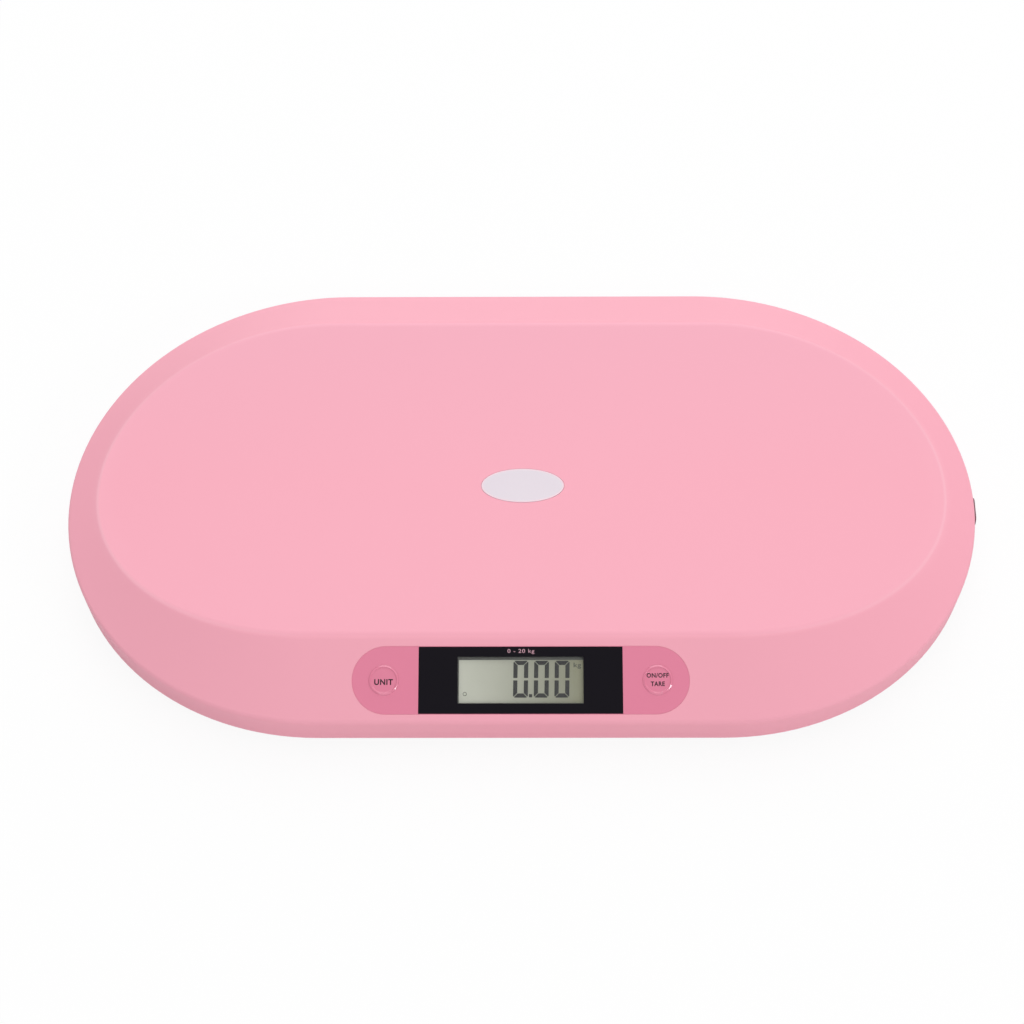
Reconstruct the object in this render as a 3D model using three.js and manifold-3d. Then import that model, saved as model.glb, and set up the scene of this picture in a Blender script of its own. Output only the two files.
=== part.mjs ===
// A digital baby weighing scale: a long stadium-shaped tray on four load-cell feet, with a
// control panel in its front slope and a pull-out measuring tape at its right end.
// Millimetres. X runs along the tray towards the tape, -Y is the front with the display, +Z is up,
// and the origin is the middle of the footprint on the floor.
import * as THREE from "three";
import { mergeVertices } from "three/addons/utils/BufferGeometryUtils.js";
import Module from "manifold-3d";

const wasm = await Module();
wasm.setup();

// Body outline, seen from above: straight long sides between two rounded ends
const bodyLength = 550;
const bodyWidth = 330;
const endReach = 161;
const bodyStraight = bodyLength - 2 * endReach;

// Weighing tray: a shallow trough along X, inside a sloping band of its own width
const bandRun = 45;
const endBandRun = 19;
const trayStraightRoom = 5.5;
const trayFloorHeight = 35.8;
const trayRimRise = 13;
const trayLength = bodyLength - 2 * endBandRun;
const trayWidth = bodyWidth - 2 * bandRun;
const trayStraight = bodyStraight + 2 * trayStraightRoom;

// Heights above the floor and the shell's own sizes
const shellBottom = 10;
const ridgeHeight = 27.4;
const wall = 2.5;
const wallDraft = 1;
const ridgeReach = 2;
const rimReach = 3;
const trayRingStep = 19;

// Fits and mesh fineness
const clearance = 0.3;
const overrun = 6;
const endSegments = 20;
const cornerSteps = 2;
const roundSegments = 20;
const smallSegments = 10;

// Base shell
const baseRecess = 0.5;
const baseThickness = 2.5;
const baseRimHeight = 4;
const baseRimWall = 2;

// Case screws: four along the long sides, four near the ends
const sidePostRoom = 2;
const sidePostInset = 35;
const endPostInset = 53;
const endPostY = 58;
const postRadius = 4.2;
const bossRadius = 6.5;
const bossHeight = 2;
const screwRadius = 1.5;
const screwHeadRadius = 3;
const screwHeadHeight = 1.7;
const screwLength = 15;
const screwCrownShare = 0.7;
const screwSlotWidth = 0.9;
const screwSlotDepth = 0.7;

// Feet, each on its own load cell
const footEndInset = 107;
const footSideInset = 70;
const padRadius = 16;
const padHeight = 3;
const padSeatDepth = 1.5;
const padEdge = 0.8;
const footCapRadius = 18.5;
const footCapHeight = 5;
const footStemRadius = 8;
const footStemRoom = 1.5;
const footTravel = 0.2;
const wellRadius = 21.5;
const wellDepth = 1.1;
const cellSize = 34;
const cellThickness = 2.5;
const cellSlotOuter = 25;
const cellSlotWidth = 3;
const cellTongueWidth = 12;
const cellArmWidth = 6;
const holderWall = 3;
const holderLedge = 2.5;
const holderLedgeHeight = 1.6;

// Control panel in the front slope; its own plane is the band's surface
const panelLength = 188;
const panelLowerMargin = 5;
const panelUpperMargin = 6.8;
const panelLayer = 0.8;
const windowInset = 37;
const viewSideMargin = 22;
const viewEdgeMargin = 6.25;
const lensMargin = 1.6;
const padBorder = 4;
const panelPadDepth = 4.5;

// Liquid crystal display, its holder and the main board behind it
const lcdSideOverlap = 5;
const lcdEdgeOverlap = 4.7;
const lcdThickness = 2.8;
const lcdHolderSide = 6;
const lcdHolderEdge = 2;
const lcdHolderThickness = 3;
const contactStripEnd = 3;
const contactStripWidth = 2.4;
const contactStripInset = 2;
const contactStripGap = 2.8;
const boardEndMargin = 1;
const boardEdgeMargin = 3;
const boardThickness = 1.6;
const boardPostRoom = 1;
const boardPostInset = 4;
const boardPostRadius = 2.6;
const boardScrewRadius = 1.1;
const boardScrewHeadRadius = 2.1;
const boardScrewLength = 4.5;
const chipSize = 12;
const chipHeight = 1.6;

// Two push buttons
const buttonInset = 17.7;
const buttonDiameter = 17;
const buttonDome = 0.7;
const buttonDomeShares = [
  [1, 0],
  [0.9, 0.5],
  [0.5, 0.9],
  [0, 1],
];
const buttonFlange = 1.2;
const buttonFlangeHeight = 0.9;
const buttonTravel = 0.5;
const plungerRadius = 2.2;
const plungerLength = 0.6;
const switchSize = 6;
const switchBodyHeight = 2.4;
const switchTipRadius = 1.7;

// Badge plate in the middle of the tray
const badgeLength = 50;
const badgeWidth = 26;
const badgeX = 1.2;
const badgeY = -3.2;
const badgeThickness = 0.8;

// Battery bay for three AAA cells, and its door
const cellCount = 3;
const batteryRadius = 5.25;
const batteryLength = 43.3;
const batteryNubRadius = 1.9;
const batteryNubHeight = 1.2;
const batteryPitch = 11.2;
const bayWall = 2;
const bayEndRoom = 3.4;
const bayY = 6;
const doorThickness = 2.2;
const doorGap = 0.4;
const doorBarrelRadius = 1.6;
const doorPinRadius = 0.9;
const doorNotchRadius = 9;
const doorNotchDepth = 1.2;
const contactThickness = 0.5;
const contactBumpRadius = 2.6;
const contactBumpTip = 1.2;

// Measuring tape; it leaves the right end a little in front of the middle
const tapeY = -12.5;
const tapeLength = 1000;
const tapeWidth = 7;
const tapeThickness = 0.5;
const tapeHubRadius = 7;
const tapeHubWall = 1;
const tapeAxleRadius = 2;
const tapeFlange = 1;
const tapeFlangeMargin = 2.4;
const tapeCaseWall = 1.5;
const rollInset = 78;
const tabWidth = 21;
const tabHeight = 9;
const tabThickness = 4.1;
const tabProud = 1.9;
const guideWall = 1.2;
const tapeSpringTurns = 3;
const tapeSpringStrip = 0.4;

// Wires inside, with the places they pass as shares of the board's reach along X and Y
const leadRadius = 1.2;
const leadLift = 0.8;
const leadSides = 8;
const leadSteps = 14;
const leadRun = 12;
const leadDrift = 5;
const leadEndRise = 4;
const leadEndInset = 33;
const frontLeadShares = [
  [1.03, 0.85],
  [0.78, 0.92],
  [0.56, 1],
];
const backLeadShares = [
  [1.03, -0.3],
  [0.8, 0.23],
  [0.62, 0.73],
  [0.41, 1],
];
const batteryLeadShares = [
  [0.32, 0.53],
  [0.15, 1],
];

const material = (color, roughness, metalness = 0) =>
  new THREE.MeshStandardMaterial({ color, roughness, metalness });
const pinkPlastic = material(0xfcb3c4, 0.42);
const rosePanel = material(0xdb819a, 0.35);
const blackWindow = material(0x1a181d, 0.2);
const clearLens = material(0xdfe4e2, 0.08);
const displayGrey = material(0xaeb0a3, 0.3);
const badgePlate = material(0xe8dde5, 0.35);
const whitePlastic = material(0xe9e6e2, 0.5);
const darkPlastic = material(0x303036, 0.5);
const greyRubber = material(0x4a4a4e, 0.85);
const steel = material(0xb9bdc2, 0.35, 1);
const springSteel = material(0xa8acb2, 0.3, 1);
const boardGreen = material(0x1f6b40, 0.5);
const cellJacket = material(0x3a3f57, 0.35, 0.4);
const tapeWhite = material(0xf3f0e4, 0.5);
const plumPlastic = material(0x6b3443, 0.4);
const leadSleeve = material(0xd8d4cf, 0.55);

const scale = new THREE.Group();
const halfTurn = Math.PI;
const quarterTurn = Math.PI / 2;

// A closed three.js geometry as a solid that can be joined and cut.
function solid(geometry) {
  const bare = new THREE.BufferGeometry()
    .setAttribute("position", geometry.getAttribute("position").clone())
    .setIndex(geometry.index);
  const merged = mergeVertices(bare);
  const corners = merged.index.array;
  const kept = [];
  for (let i = 0; i < corners.length; i += 3) {
    const [a, b, c] = corners.slice(i, i + 3);
    if (a !== b && b !== c && c !== a) kept.push(a, b, c);
  }
  const build = (triVerts) =>
    new wasm.Manifold(
      new wasm.Mesh({
        numProp: 3,
        vertProperties: merged.attributes.position.array,
        triVerts: new Uint32Array(triVerts),
      }),
    );
  const made = build(kept);
  return made.volume() < 0 ? build(kept.reverse()) : made;
}

const join = (first, ...others) => others.reduce((sum, other) => sum.add(other), first);
const cut = (first, ...others) => others.reduce((rest, other) => rest.subtract(other), first);

// Adds a named piece to the scale, or to one of its groups.
function piece(name, shape, look, parent = scale) {
  const made = shape.getMesh();
  const indexed = new THREE.BufferGeometry()
    .setAttribute("position", new THREE.BufferAttribute(made.vertProperties, made.numProp))
    .setIndex(new THREE.BufferAttribute(made.triVerts, 1));
  const geometry = indexed.toNonIndexed();
  geometry.computeVertexNormals();
  const mesh = new THREE.Mesh(geometry, look);
  mesh.name = name;
  parent.add(mesh);
  return mesh;
}

const block = (length, depth, bottom, top, x = 0, y = 0) =>
  solid(
    new THREE.BoxGeometry(length, depth, top - bottom).translate(x, y, (top + bottom) / 2),
  );

const rod = (radius, bottom, top, x = 0, y = 0, segments = roundSegments) =>
  solid(
    new THREE.CylinderGeometry(radius, radius, top - bottom, segments)
      .rotateX(quarterTurn)
      .translate(x, y, (top + bottom) / 2),
  );

// A profile of [radius, height] pairs turned about a vertical axis at x, y.
const turned = (profile, x = 0, y = 0, segments = roundSegments) =>
  solid(
    new THREE.LatheGeometry(
      profile.map(([radius, height]) => new THREE.Vector2(radius, height)),
      segments,
    )
      .rotateX(quarterTurn)
      .translate(x, y, 0),
  );

const slab = (shape, bottom, top) =>
  solid(
    new THREE.ExtrudeGeometry(shape, {
      depth: top - bottom,
      bevelEnabled: false,
      curveSegments: smallSegments,
    }).translate(0, 0, bottom),
  );

function pill(length, height) {
  const radius = height / 2;
  const reach = length / 2 - radius;
  const shape = new THREE.Shape();
  shape.absarc(reach, 0, radius, -quarterTurn, quarterTurn);
  shape.absarc(-reach, 0, radius, quarterTurn, halfTurn + quarterTurn);
  return shape;
}

// One closed line round the body: straight long sides and curved ends.
function ovalRing(length, width, straight, heightAt) {
  const ring = [];
  for (const side of [1, -1])
    for (let i = 0; i <= endSegments; i++) {
      const turn = (i / endSegments) * halfTurn - quarterTurn;
      const x = side * (straight / 2 + ((length - straight) / 2) * Math.cos(turn));
      const y = side * (width / 2) * Math.sin(turn);
      ring.push(new THREE.Vector3(x, y, heightAt(y)));
    }
  return ring;
}

// A solid skin through rings of equal count, closed at both ends about a middle point.
function loft(rings) {
  const count = rings[0].length;
  const middle = (ring) =>
    new THREE.Vector3(0, 0, ring.reduce((low, point) => Math.min(low, point.z), Infinity));
  const points = [...rings.flat(), middle(rings[0]), middle(rings.at(-1))];
  const faces = [];
  rings.slice(1).forEach((ring, level) => {
    for (let i = 0; i < count; i++) {
      const next = (i + 1) % count;
      const [a, b] = [level * count + i, level * count + next];
      faces.push(a, b, b + count, a, b + count, a + count);
    }
  });
  const lastStart = (rings.length - 1) * count;
  for (let i = 0; i < count; i++) {
    const next = (i + 1) % count;
    faces.push(points.length - 2, next, i);
    faces.push(points.length - 1, lastStart + i, lastStart + next);
  }
  const geometry = new THREE.BufferGeometry().setFromPoints(points).setIndex(faces);
  return solid(geometry);
}

// Rings that round off a corner line between its two neighbours.
function roundedCorner(before, corner, after, reach) {
  const towards = (from, to) =>
    from.clone().add(to.clone().sub(from).setLength(Math.min(reach, from.distanceTo(to) / 2)));
  return Array.from({ length: cornerSteps + 1 }, (_, step) =>
    corner.map((point, k) => {
      const t = step / cornerSteps;
      const entry = towards(point, before[k]).lerp(point, t);
      const exit = point.clone().lerp(towards(point, after[k]), t);
      return entry.lerp(exit, t);
    }),
  );
}

// The shell's skin, or a skin at a depth inside it
const rimHeight = trayFloorHeight + trayRimRise;
const bandSlope = Math.atan2(rimHeight - ridgeHeight, bandRun);
const trayHeightAt = (y) => trayFloorHeight + trayRimRise * ((2 * y) / trayWidth) ** 2;

function shellSkin(depth, bottom) {
  const inset = wallDraft + depth;
  const ridgeDrop = depth / Math.cos(bandSlope) - depth * Math.tan(bandSlope);
  const heightAt = (y) => trayHeightAt(y) - depth;
  const foot = ovalRing(
    bodyLength - 2 * inset,
    bodyWidth - 2 * inset,
    bodyStraight,
    () => bottom,
  );
  const ridge = ovalRing(
    bodyLength - 2 * depth,
    bodyWidth - 2 * depth,
    bodyStraight,
    () => ridgeHeight - ridgeDrop,
  );
  const rim = ovalRing(trayLength, trayWidth, trayStraight, heightAt);
  const tray = [];
  for (let step = trayRingStep; step < trayWidth / 2 - trayRingStep / 2; step += trayRingStep)
    tray.push(ovalRing(trayLength - 2 * step, trayWidth - 2 * step, trayStraight, heightAt));
  return [
    foot,
    ...roundedCorner(foot, ridge, rim, ridgeReach),
    ...roundedCorner(ridge, rim, tray[0], rimReach),
    ...tray,
  ];
}

// Panel, window, display and board sizes, each worked out from what carries it
const panelHeight = Math.hypot(bandRun, rimHeight - ridgeHeight) - panelLowerMargin - panelUpperMargin;
const panelRun = panelLowerMargin + panelHeight / 2;
const windowLength = panelLength - 2 * windowInset;
const viewLength = windowLength - 2 * viewSideMargin;
const viewHeight = panelHeight - 2 * viewEdgeMargin;
const lcdLength = viewLength + 2 * lcdSideOverlap;
const lcdHeight = viewHeight + 2 * lcdEdgeOverlap;
const boardLength = panelLength - 2 * boardEndMargin;
const boardHeight = panelHeight - 2 * boardEdgeMargin;
const boardPostX = windowLength / 2 + boardPostRoom;
const boardPostY = boardHeight / 2 - boardPostInset;
const buttonX = panelLength / 2 - buttonInset;

// The control panel's group: its XY plane lies in the band's surface
const controls = new THREE.Group();
controls.position.set(
  0,
  -bodyWidth / 2 + panelRun * Math.cos(bandSlope),
  ridgeHeight + panelRun * Math.sin(bandSlope),
);
controls.rotation.x = bandSlope;
controls.updateMatrix();
scale.add(controls);
const onBand = (shape) => shape.transform(controls.matrix.elements);

// Levels behind the panel, measured from the band's surface
const panelBack = -2 * panelLayer;
const recessFloor = panelBack - clearance;
const lcdTop = recessFloor;
const lcdBack = lcdTop - lcdThickness;
const holderTop = Math.min(lcdBack, -panelPadDepth) - clearance;
const holderBack = holderTop - lcdHolderThickness;
const boardTop = holderBack - clearance;
const boardBack = boardTop - boardThickness;
const buttonRadius = buttonDiameter / 2;
const flangeRadius = buttonRadius + buttonFlange;
const flangeTop = panelBack - clearance;
const flangeBottom = flangeTop - buttonFlangeHeight;
const switchBase = boardTop + clearance;
const switchTop = switchBase + switchBodyHeight;
const plungerEnd = flangeBottom - plungerLength;
const switchTipTop = plungerEnd - buttonTravel - clearance;
const buttonSpots = [
  ["unit", -buttonX],
  ["power_tare", buttonX],
];
const boardPostSpots = [
  ["left", -boardPostX],
  ["right", boardPostX],
];

// Levels of the base, feet and load cells
const baseBottom = shellBottom + baseRecess;
const baseTop = baseBottom + baseThickness;
const footX = bodyLength / 2 - footEndInset;
const footY = bodyWidth / 2 - footSideInset;
const sidePostX = bodyStraight / 2 + sidePostRoom;
const sidePostY = bodyWidth / 2 - sidePostInset;
const endPostX = bodyLength / 2 - endPostInset;
const footSpots = [
  ["front_left", -footX, -footY],
  ["front_right", footX, -footY],
  ["back_left", -footX, footY],
  ["back_right", footX, footY],
];
const screwSpots = [
  ["front_left", -sidePostX, -sidePostY],
  ["front_right", sidePostX, -sidePostY],
  ["back_left", -sidePostX, sidePostY],
  ["back_right", sidePostX, sidePostY],
  ["left_front", -endPostX, -endPostY],
  ["left_back", -endPostX, endPostY],
  ["right_front", endPostX, -endPostY],
  ["right_back", endPostX, endPostY],
];
const postBottom = baseTop + bossHeight + clearance;

// Measuring tape levels; the tape stands on edge and leaves along X at tapeY
const caseFloorBottom = baseTop + clearance;
const caseFloorTop = caseFloorBottom + tapeCaseWall;
const spoolBottom = caseFloorTop + clearance;
const tapeBottom = spoolBottom + tapeFlange + clearance;
const tapeTop = tapeBottom + tapeWidth;
const tapeMiddle = (tapeBottom + tapeTop) / 2;
const spoolTop = tapeTop + clearance + tapeFlange;
const caseTop = spoolTop;
const rollInner = tapeHubRadius + clearance;
const rollRadius = Math.sqrt(rollInner ** 2 + (tapeLength * tapeThickness) / Math.PI);
const rollX = bodyLength / 2 - rollInset;
const rollY = tapeY - (rollRadius + clearance + tapeThickness / 2);
const flangeReach = rollRadius + tapeFlangeMargin;
const caseRadius = flangeReach + clearance + tapeCaseWall;
const tabOuter = bodyLength / 2 + tabProud;
const tabInner = tabOuter - tabThickness;
const wallInner = bodyLength / 2 - wallDraft - wall;
const guideInner = tapeThickness / 2 + 2 * clearance;
const guideOuter = guideInner + guideWall;

// A block along X, given by its two ends
const runAlongX = (from, to, width, bottom, top, y = tapeY) =>
  block(to - from, width, bottom, top, (from + to) / 2, y);

function tabPlate(growth, from, to) {
  const shape = pill(tabWidth + 2 * growth, tabHeight + 2 * growth);
  const plate = new THREE.ExtrudeGeometry(shape, {
    depth: to - from,
    bevelEnabled: false,
    curveSegments: smallSegments,
  });
  return solid(plate.rotateX(quarterTurn).rotateZ(quarterTurn).translate(from, tapeY, tapeMiddle));
}

// A board screw's hole, from behind the board up to a level
const boardHole = (x, top) =>
  rod(boardScrewRadius + clearance, boardBack - overrun, top, x, boardPostY, smallSegments);

// Top shell: tray, band and side wall in one moulding, open underneath
function makeTopShell() {
  const outside = loft(shellSkin(0, shellBottom));
  const hollow = loft(shellSkin(wall, shellBottom - overrun));
  const panelPad = onBand(
    slab(pill(panelLength + 2 * padBorder, panelHeight + padBorder), -panelPadDepth, -wall / 2),
  );
  const posts = screwSpots.map(([, x, y]) =>
    rod(postRadius, postBottom, rimHeight + overrun, x, y, smallSegments),
  );
  const boardPosts = boardPostSpots.map(([, x]) =>
    onBand(
      rod(boardPostRadius, boardTop + clearance, -wall, x, boardPostY, smallSegments),
    ),
  );
  const inside = [panelPad, ...posts, ...boardPosts].map((extra) => extra.intersect(outside));
  const body = join(cut(outside, hollow), ...inside);

  const recess = onBand(
    slab(pill(panelLength + 2 * clearance, panelHeight + 2 * clearance), recessFloor, overrun),
  );
  const lcdOpening = onBand(
    block(lcdLength + 2 * clearance, lcdHeight + 2 * clearance, -panelPadDepth - overrun, 0),
  );
  const buttonHoles = buttonSpots.map(([, x]) =>
    onBand(rod(flangeRadius + clearance, -panelPadDepth - overrun, 0, x)),
  );
  const postHoleRadius = screwRadius + clearance;
  const postHoles = screwSpots.map(([, x, y]) =>
    rod(postHoleRadius, postBottom - overrun, postBottom + screwLength, x, y, smallSegments),
  );
  const boardHoles = boardPostSpots.map(([, x]) => onBand(boardHole(x, -panelPadDepth)));
  const badgeSeat = solid(
    new THREE.CylinderGeometry(1, 1, overrun, roundSegments)
      .rotateX(quarterTurn)
      .scale(badgeLength / 2 + clearance, badgeWidth / 2 + clearance, 1)
      .translate(badgeX, badgeY, trayFloorHeight - badgeThickness - clearance + overrun / 2),
  );
  const tapePocket = tabPlate(clearance, tabInner - clearance, tabOuter + overrun);
  const tapeSlot = runAlongX(
    wallInner - overrun,
    tabOuter,
    tapeThickness + 4 * clearance,
    tapeBottom - 2 * clearance,
    tapeTop + 2 * clearance,
  );
  return cut(
    body,
    recess,
    lcdOpening,
    ...buttonHoles,
    ...postHoles,
    ...boardHoles,
    badgeSeat,
    tapePocket,
    tapeSlot,
  );
}

// Battery bay places, shared by the base shell, the cells and the door
const bayLength = batteryLength + batteryNubHeight + 2 * bayEndRoom;
const bayWidth = cellCount * batteryPitch + 2 * clearance;
const doorTop = baseBottom + doorThickness;
const batteryAxis = doorTop + clearance + batteryRadius;
const bayCeiling = batteryAxis + batteryRadius + clearance;
const bayRoof = bayCeiling + bayWall;
const barrelY = bayY + bayWidth / 2 - doorGap - doorBarrelRadius;
const barrelZ = baseBottom + doorBarrelRadius;

const rodAlongX = (radius, from, to, y, z, segments = smallSegments) =>
  solid(
    new THREE.CylinderGeometry(radius, radius, to - from, segments)
      .rotateZ(quarterTurn)
      .translate((from + to) / 2, y, z),
  );

// Base shell: plate, stiffening rim, battery bay, screw bosses and foot wells
function makeBaseShell() {
  const inset = wallDraft + wall + clearance;
  const outline = (extra, z) =>
    ovalRing(
      bodyLength - 2 * (inset + extra),
      bodyWidth - 2 * (inset + extra),
      bodyStraight,
      () => z,
    );
  const plate = loft([outline(0, baseBottom), outline(0, baseTop + baseRimHeight)]);
  const inside = loft([
    outline(baseRimWall, baseTop),
    outline(baseRimWall, baseTop + baseRimHeight + overrun),
  ]);
  const bay = block(bayLength + 2 * bayWall, bayWidth + 2 * bayWall, baseBottom, bayRoof, 0, bayY);
  const bosses = screwSpots.map(([, x, y]) =>
    rod(bossRadius, baseBottom, baseTop + bossHeight, x, y, smallSegments),
  );
  const body = join(cut(plate, inside), bay, ...bosses);

  const bayHollow = block(bayLength, bayWidth, baseBottom - overrun, bayCeiling, 0, bayY);
  const pinHoles = rodAlongX(
    doorPinRadius + clearance,
    -bayLength / 2 - bayWall - overrun,
    bayLength / 2 + bayWall + overrun,
    barrelY,
    barrelZ,
  );
  const notch = solid(
    new THREE.SphereGeometry(doorNotchRadius, roundSegments, smallSegments).translate(
      0,
      bayY - bayWidth / 2,
      baseBottom + doorNotchDepth - doorNotchRadius,
    ),
  );
  const wells = footSpots.flatMap(([, x, y]) => [
    rod(wellRadius, baseBottom - overrun, baseBottom + wellDepth, x, y),
    rod(footStemRadius + footStemRoom, baseBottom - overrun, baseTop + overrun, x, y),
  ]);
  const seatTop = baseBottom + screwHeadHeight + 2 * clearance;
  const seatRadius = screwHeadRadius + clearance;
  const screwHoles = screwSpots.flatMap(([, x, y]) => [
    rod(screwRadius + clearance, baseBottom - overrun, baseTop + overrun, x, y, smallSegments),
    rod(seatRadius, baseBottom - overrun, seatTop, x, y, smallSegments),
  ]);
  const tapeGap = runAlongX(
    rollX,
    bodyLength / 2,
    2 * (guideOuter + clearance),
    baseTop,
    baseTop + baseRimHeight + overrun,
  );
  return cut(body, bayHollow, pinHoles, notch, tapeGap, ...wells, ...screwHoles);
}

// A pan-head screw whose head hangs below its shank, with a cross slot in the head
function makeScrew(radius, headRadius, headHeight, length, slotWidth, slotDepth) {
  const body = turned(
    [
      [0, 0],
      [headRadius * screwCrownShare, 0],
      [headRadius, headHeight / 2],
      [headRadius, headHeight],
      [radius, headHeight],
      [radius, headHeight + length],
      [0, headHeight + length + radius / 2],
    ],
    0,
    0,
    smallSegments,
  );
  const reach = headRadius;
  return cut(
    body,
    block(reach, slotWidth, -slotDepth, slotDepth),
    block(slotWidth, reach, -slotDepth, slotDepth),
  );
}

function addShells() {
  piece("top_shell", makeTopShell(), pinkPlastic);
  piece("base_shell", makeBaseShell(), pinkPlastic);
  const screw = makeScrew(
    screwRadius,
    screwHeadRadius,
    screwHeadHeight,
    screwLength,
    screwSlotWidth,
    screwSlotDepth,
  );
  for (const [place, x, y] of screwSpots)
    piece("case_screw_" + place, screw, steel).position.set(x, y, baseBottom + clearance);
}

function addBadge() {
  const badge = solid(
    new THREE.CylinderGeometry(1, 1, badgeThickness, roundSegments)
      .rotateX(quarterTurn)
      .scale(badgeLength / 2, badgeWidth / 2, 1),
  );
  piece("badge_plate", badge, badgePlate).position.set(
    badgeX,
    badgeY,
    trayFloorHeight - badgeThickness / 2,
  );
}

// Panel, window, display and buttons, drawn in the band's own plane
function addControls() {
  const lensLength = viewLength + 2 * lensMargin;
  const lensHeight = viewHeight + 2 * lensMargin;
  const fullPanel = slab(pill(panelLength, panelHeight), panelBack, 0);
  const windowSeat = block(
    windowLength + 2 * clearance,
    panelHeight + overrun,
    -panelLayer - clearance,
    overrun,
  );
  const lensOpening = block(
    lensLength + 2 * clearance,
    lensHeight + 2 * clearance,
    panelBack - overrun,
    0,
  );
  const holes = buttonSpots.map(([, x]) =>
    rod(buttonRadius + clearance, panelBack - overrun, overrun, x),
  );
  piece("control_panel", cut(fullPanel, windowSeat, lensOpening, ...holes), rosePanel, controls);

  const windowFrame = cut(
    block(windowLength, panelHeight, -panelLayer, 0),
    block(viewLength, viewHeight, -overrun, overrun),
  );
  piece("display_window", windowFrame, blackWindow, controls);
  piece(
    "display_lens",
    block(lensLength, lensHeight, panelBack, -panelLayer - clearance),
    clearLens,
    controls,
  );
  piece("lcd_glass", block(lcdLength, lcdHeight, lcdBack, lcdTop), displayGrey, controls);
  const stripY = -lcdHeight / 2 + contactStripInset;
  const holderLow = stripY + contactStripWidth / 2 + contactStripGap;
  const holderHigh = lcdHeight / 2 + lcdHolderEdge;
  const holder = block(
    lcdLength + 2 * lcdHolderSide,
    holderHigh - holderLow,
    holderBack,
    holderTop,
    0,
    (holderHigh + holderLow) / 2,
  );
  piece("lcd_holder", holder, whitePlastic, controls);
  const stripLength = lcdLength - 2 * contactStripEnd;
  const [stripBack, stripFront] = [boardTop + clearance, lcdBack - clearance];
  const strip = block(stripLength, contactStripWidth, stripBack, stripFront, 0, stripY);
  piece("display_contact_strip", strip, greyRubber, controls);

  const board = cut(
    block(boardLength, boardHeight, boardBack, boardTop),
    ...boardPostSpots.map(([, x]) => boardHole(x, boardTop + overrun)),
  );
  piece("main_board", board, boardGreen, controls);
  piece(
    "controller_chip",
    block(chipSize, chipSize, boardBack - clearance - chipHeight, boardBack - clearance),
    darkPlastic,
    controls,
  );
  const boardScrew = makeScrew(
    boardScrewRadius,
    boardScrewHeadRadius,
    chipHeight,
    boardScrewLength,
    screwSlotWidth / 2,
    screwSlotDepth,
  );
  for (const [place, x] of boardPostSpots)
    piece("board_screw_" + place, boardScrew, steel, controls).position.set(
      x,
      boardPostY,
      boardBack - clearance - chipHeight,
    );

  for (const [name, x] of buttonSpots) {
    const cap = turned([
      [0, plungerEnd],
      [plungerRadius, plungerEnd],
      [plungerRadius, flangeBottom],
      [flangeRadius, flangeBottom],
      [flangeRadius, flangeTop],
      [buttonRadius, flangeTop],
      ...buttonDomeShares.map(([out, up]) => [out * buttonRadius, up * buttonDome]),
    ]);
    piece(name + "_button", cap, rosePanel, controls).position.x = x;
    const body = block(switchSize, switchSize, switchBase, switchTop);
    const tip = rod(switchTipRadius, switchTop - clearance, switchTipTop, 0, 0, smallSegments);
    piece(name + "_switch", join(body, tip), darkPlastic, controls).position.x = x;
  }
}

// Each foot: rubber pad, cap with its stem, load cell and the holder that carries the cell
function addFeet() {
  const capBottom = padHeight - padSeatDepth;
  const capTop = capBottom + footCapHeight;
  const holderBottom = baseTop + clearance;
  const ledgeTop = holderBottom + holderLedgeHeight;
  const cellBottom = ledgeTop + clearance;
  const cellTop = cellBottom + cellThickness;
  const stemTop = cellBottom - footTravel - clearance / 2;

  const pad = turned([
    [0, 0],
    [padRadius - padEdge, 0],
    [padRadius, padEdge],
    [padRadius, padHeight],
    [0, padHeight],
  ]);
  const cap = turned([
    [0, padHeight + clearance],
    [padRadius + clearance, padHeight + clearance],
    [padRadius + clearance, capBottom],
    [footCapRadius, capBottom],
    [footCapRadius, capTop - padEdge],
    [footCapRadius - padEdge, capTop],
    [footStemRadius, capTop],
    [footStemRadius, stemTop],
    [0, stemTop],
  ]);
  const slotInner = cellSlotOuter - 2 * cellSlotWidth;
  const slots = cut(
    block(cellSlotOuter, cellSlotOuter, cellBottom - overrun, cellTop + overrun),
    block(slotInner, slotInner, cellBottom - 2 * overrun, cellTop + 2 * overrun),
    block(
      cellTongueWidth,
      cellSlotOuter,
      cellBottom - 2 * overrun,
      cellTop + 2 * overrun,
      0,
      cellArmWidth,
    ),
  );
  const gauge = block(cellTongueWidth / 2, cellArmWidth, cellTop - clearance, cellTop + clearance);
  const cell = join(cut(block(cellSize, cellSize, cellBottom, cellTop), slots), gauge);
  const holderSize = cellSize + 2 * (clearance + holderWall);
  const seatSize = cellSize + 2 * clearance;
  const holder = cut(
    block(holderSize, holderSize, holderBottom, cellTop + clearance),
    block(seatSize, seatSize, ledgeTop, cellTop + overrun),
    block(
      cellSize - 2 * holderLedge,
      cellSize - 2 * holderLedge,
      holderBottom - overrun,
      cellTop + overrun,
    ),
  );
  for (const [place, x, y] of footSpots) {
    piece("foot_pad_" + place, pad, greyRubber).position.set(x, y, 0);
    piece("foot_cap_" + place, cap, whitePlastic).position.set(x, y, 0);
    piece("load_cell_" + place, cell, steel).position.set(x, y, 0);
    piece("cell_holder_" + place, holder, darkPlastic).position.set(x, y, 0);
  }
}

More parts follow.
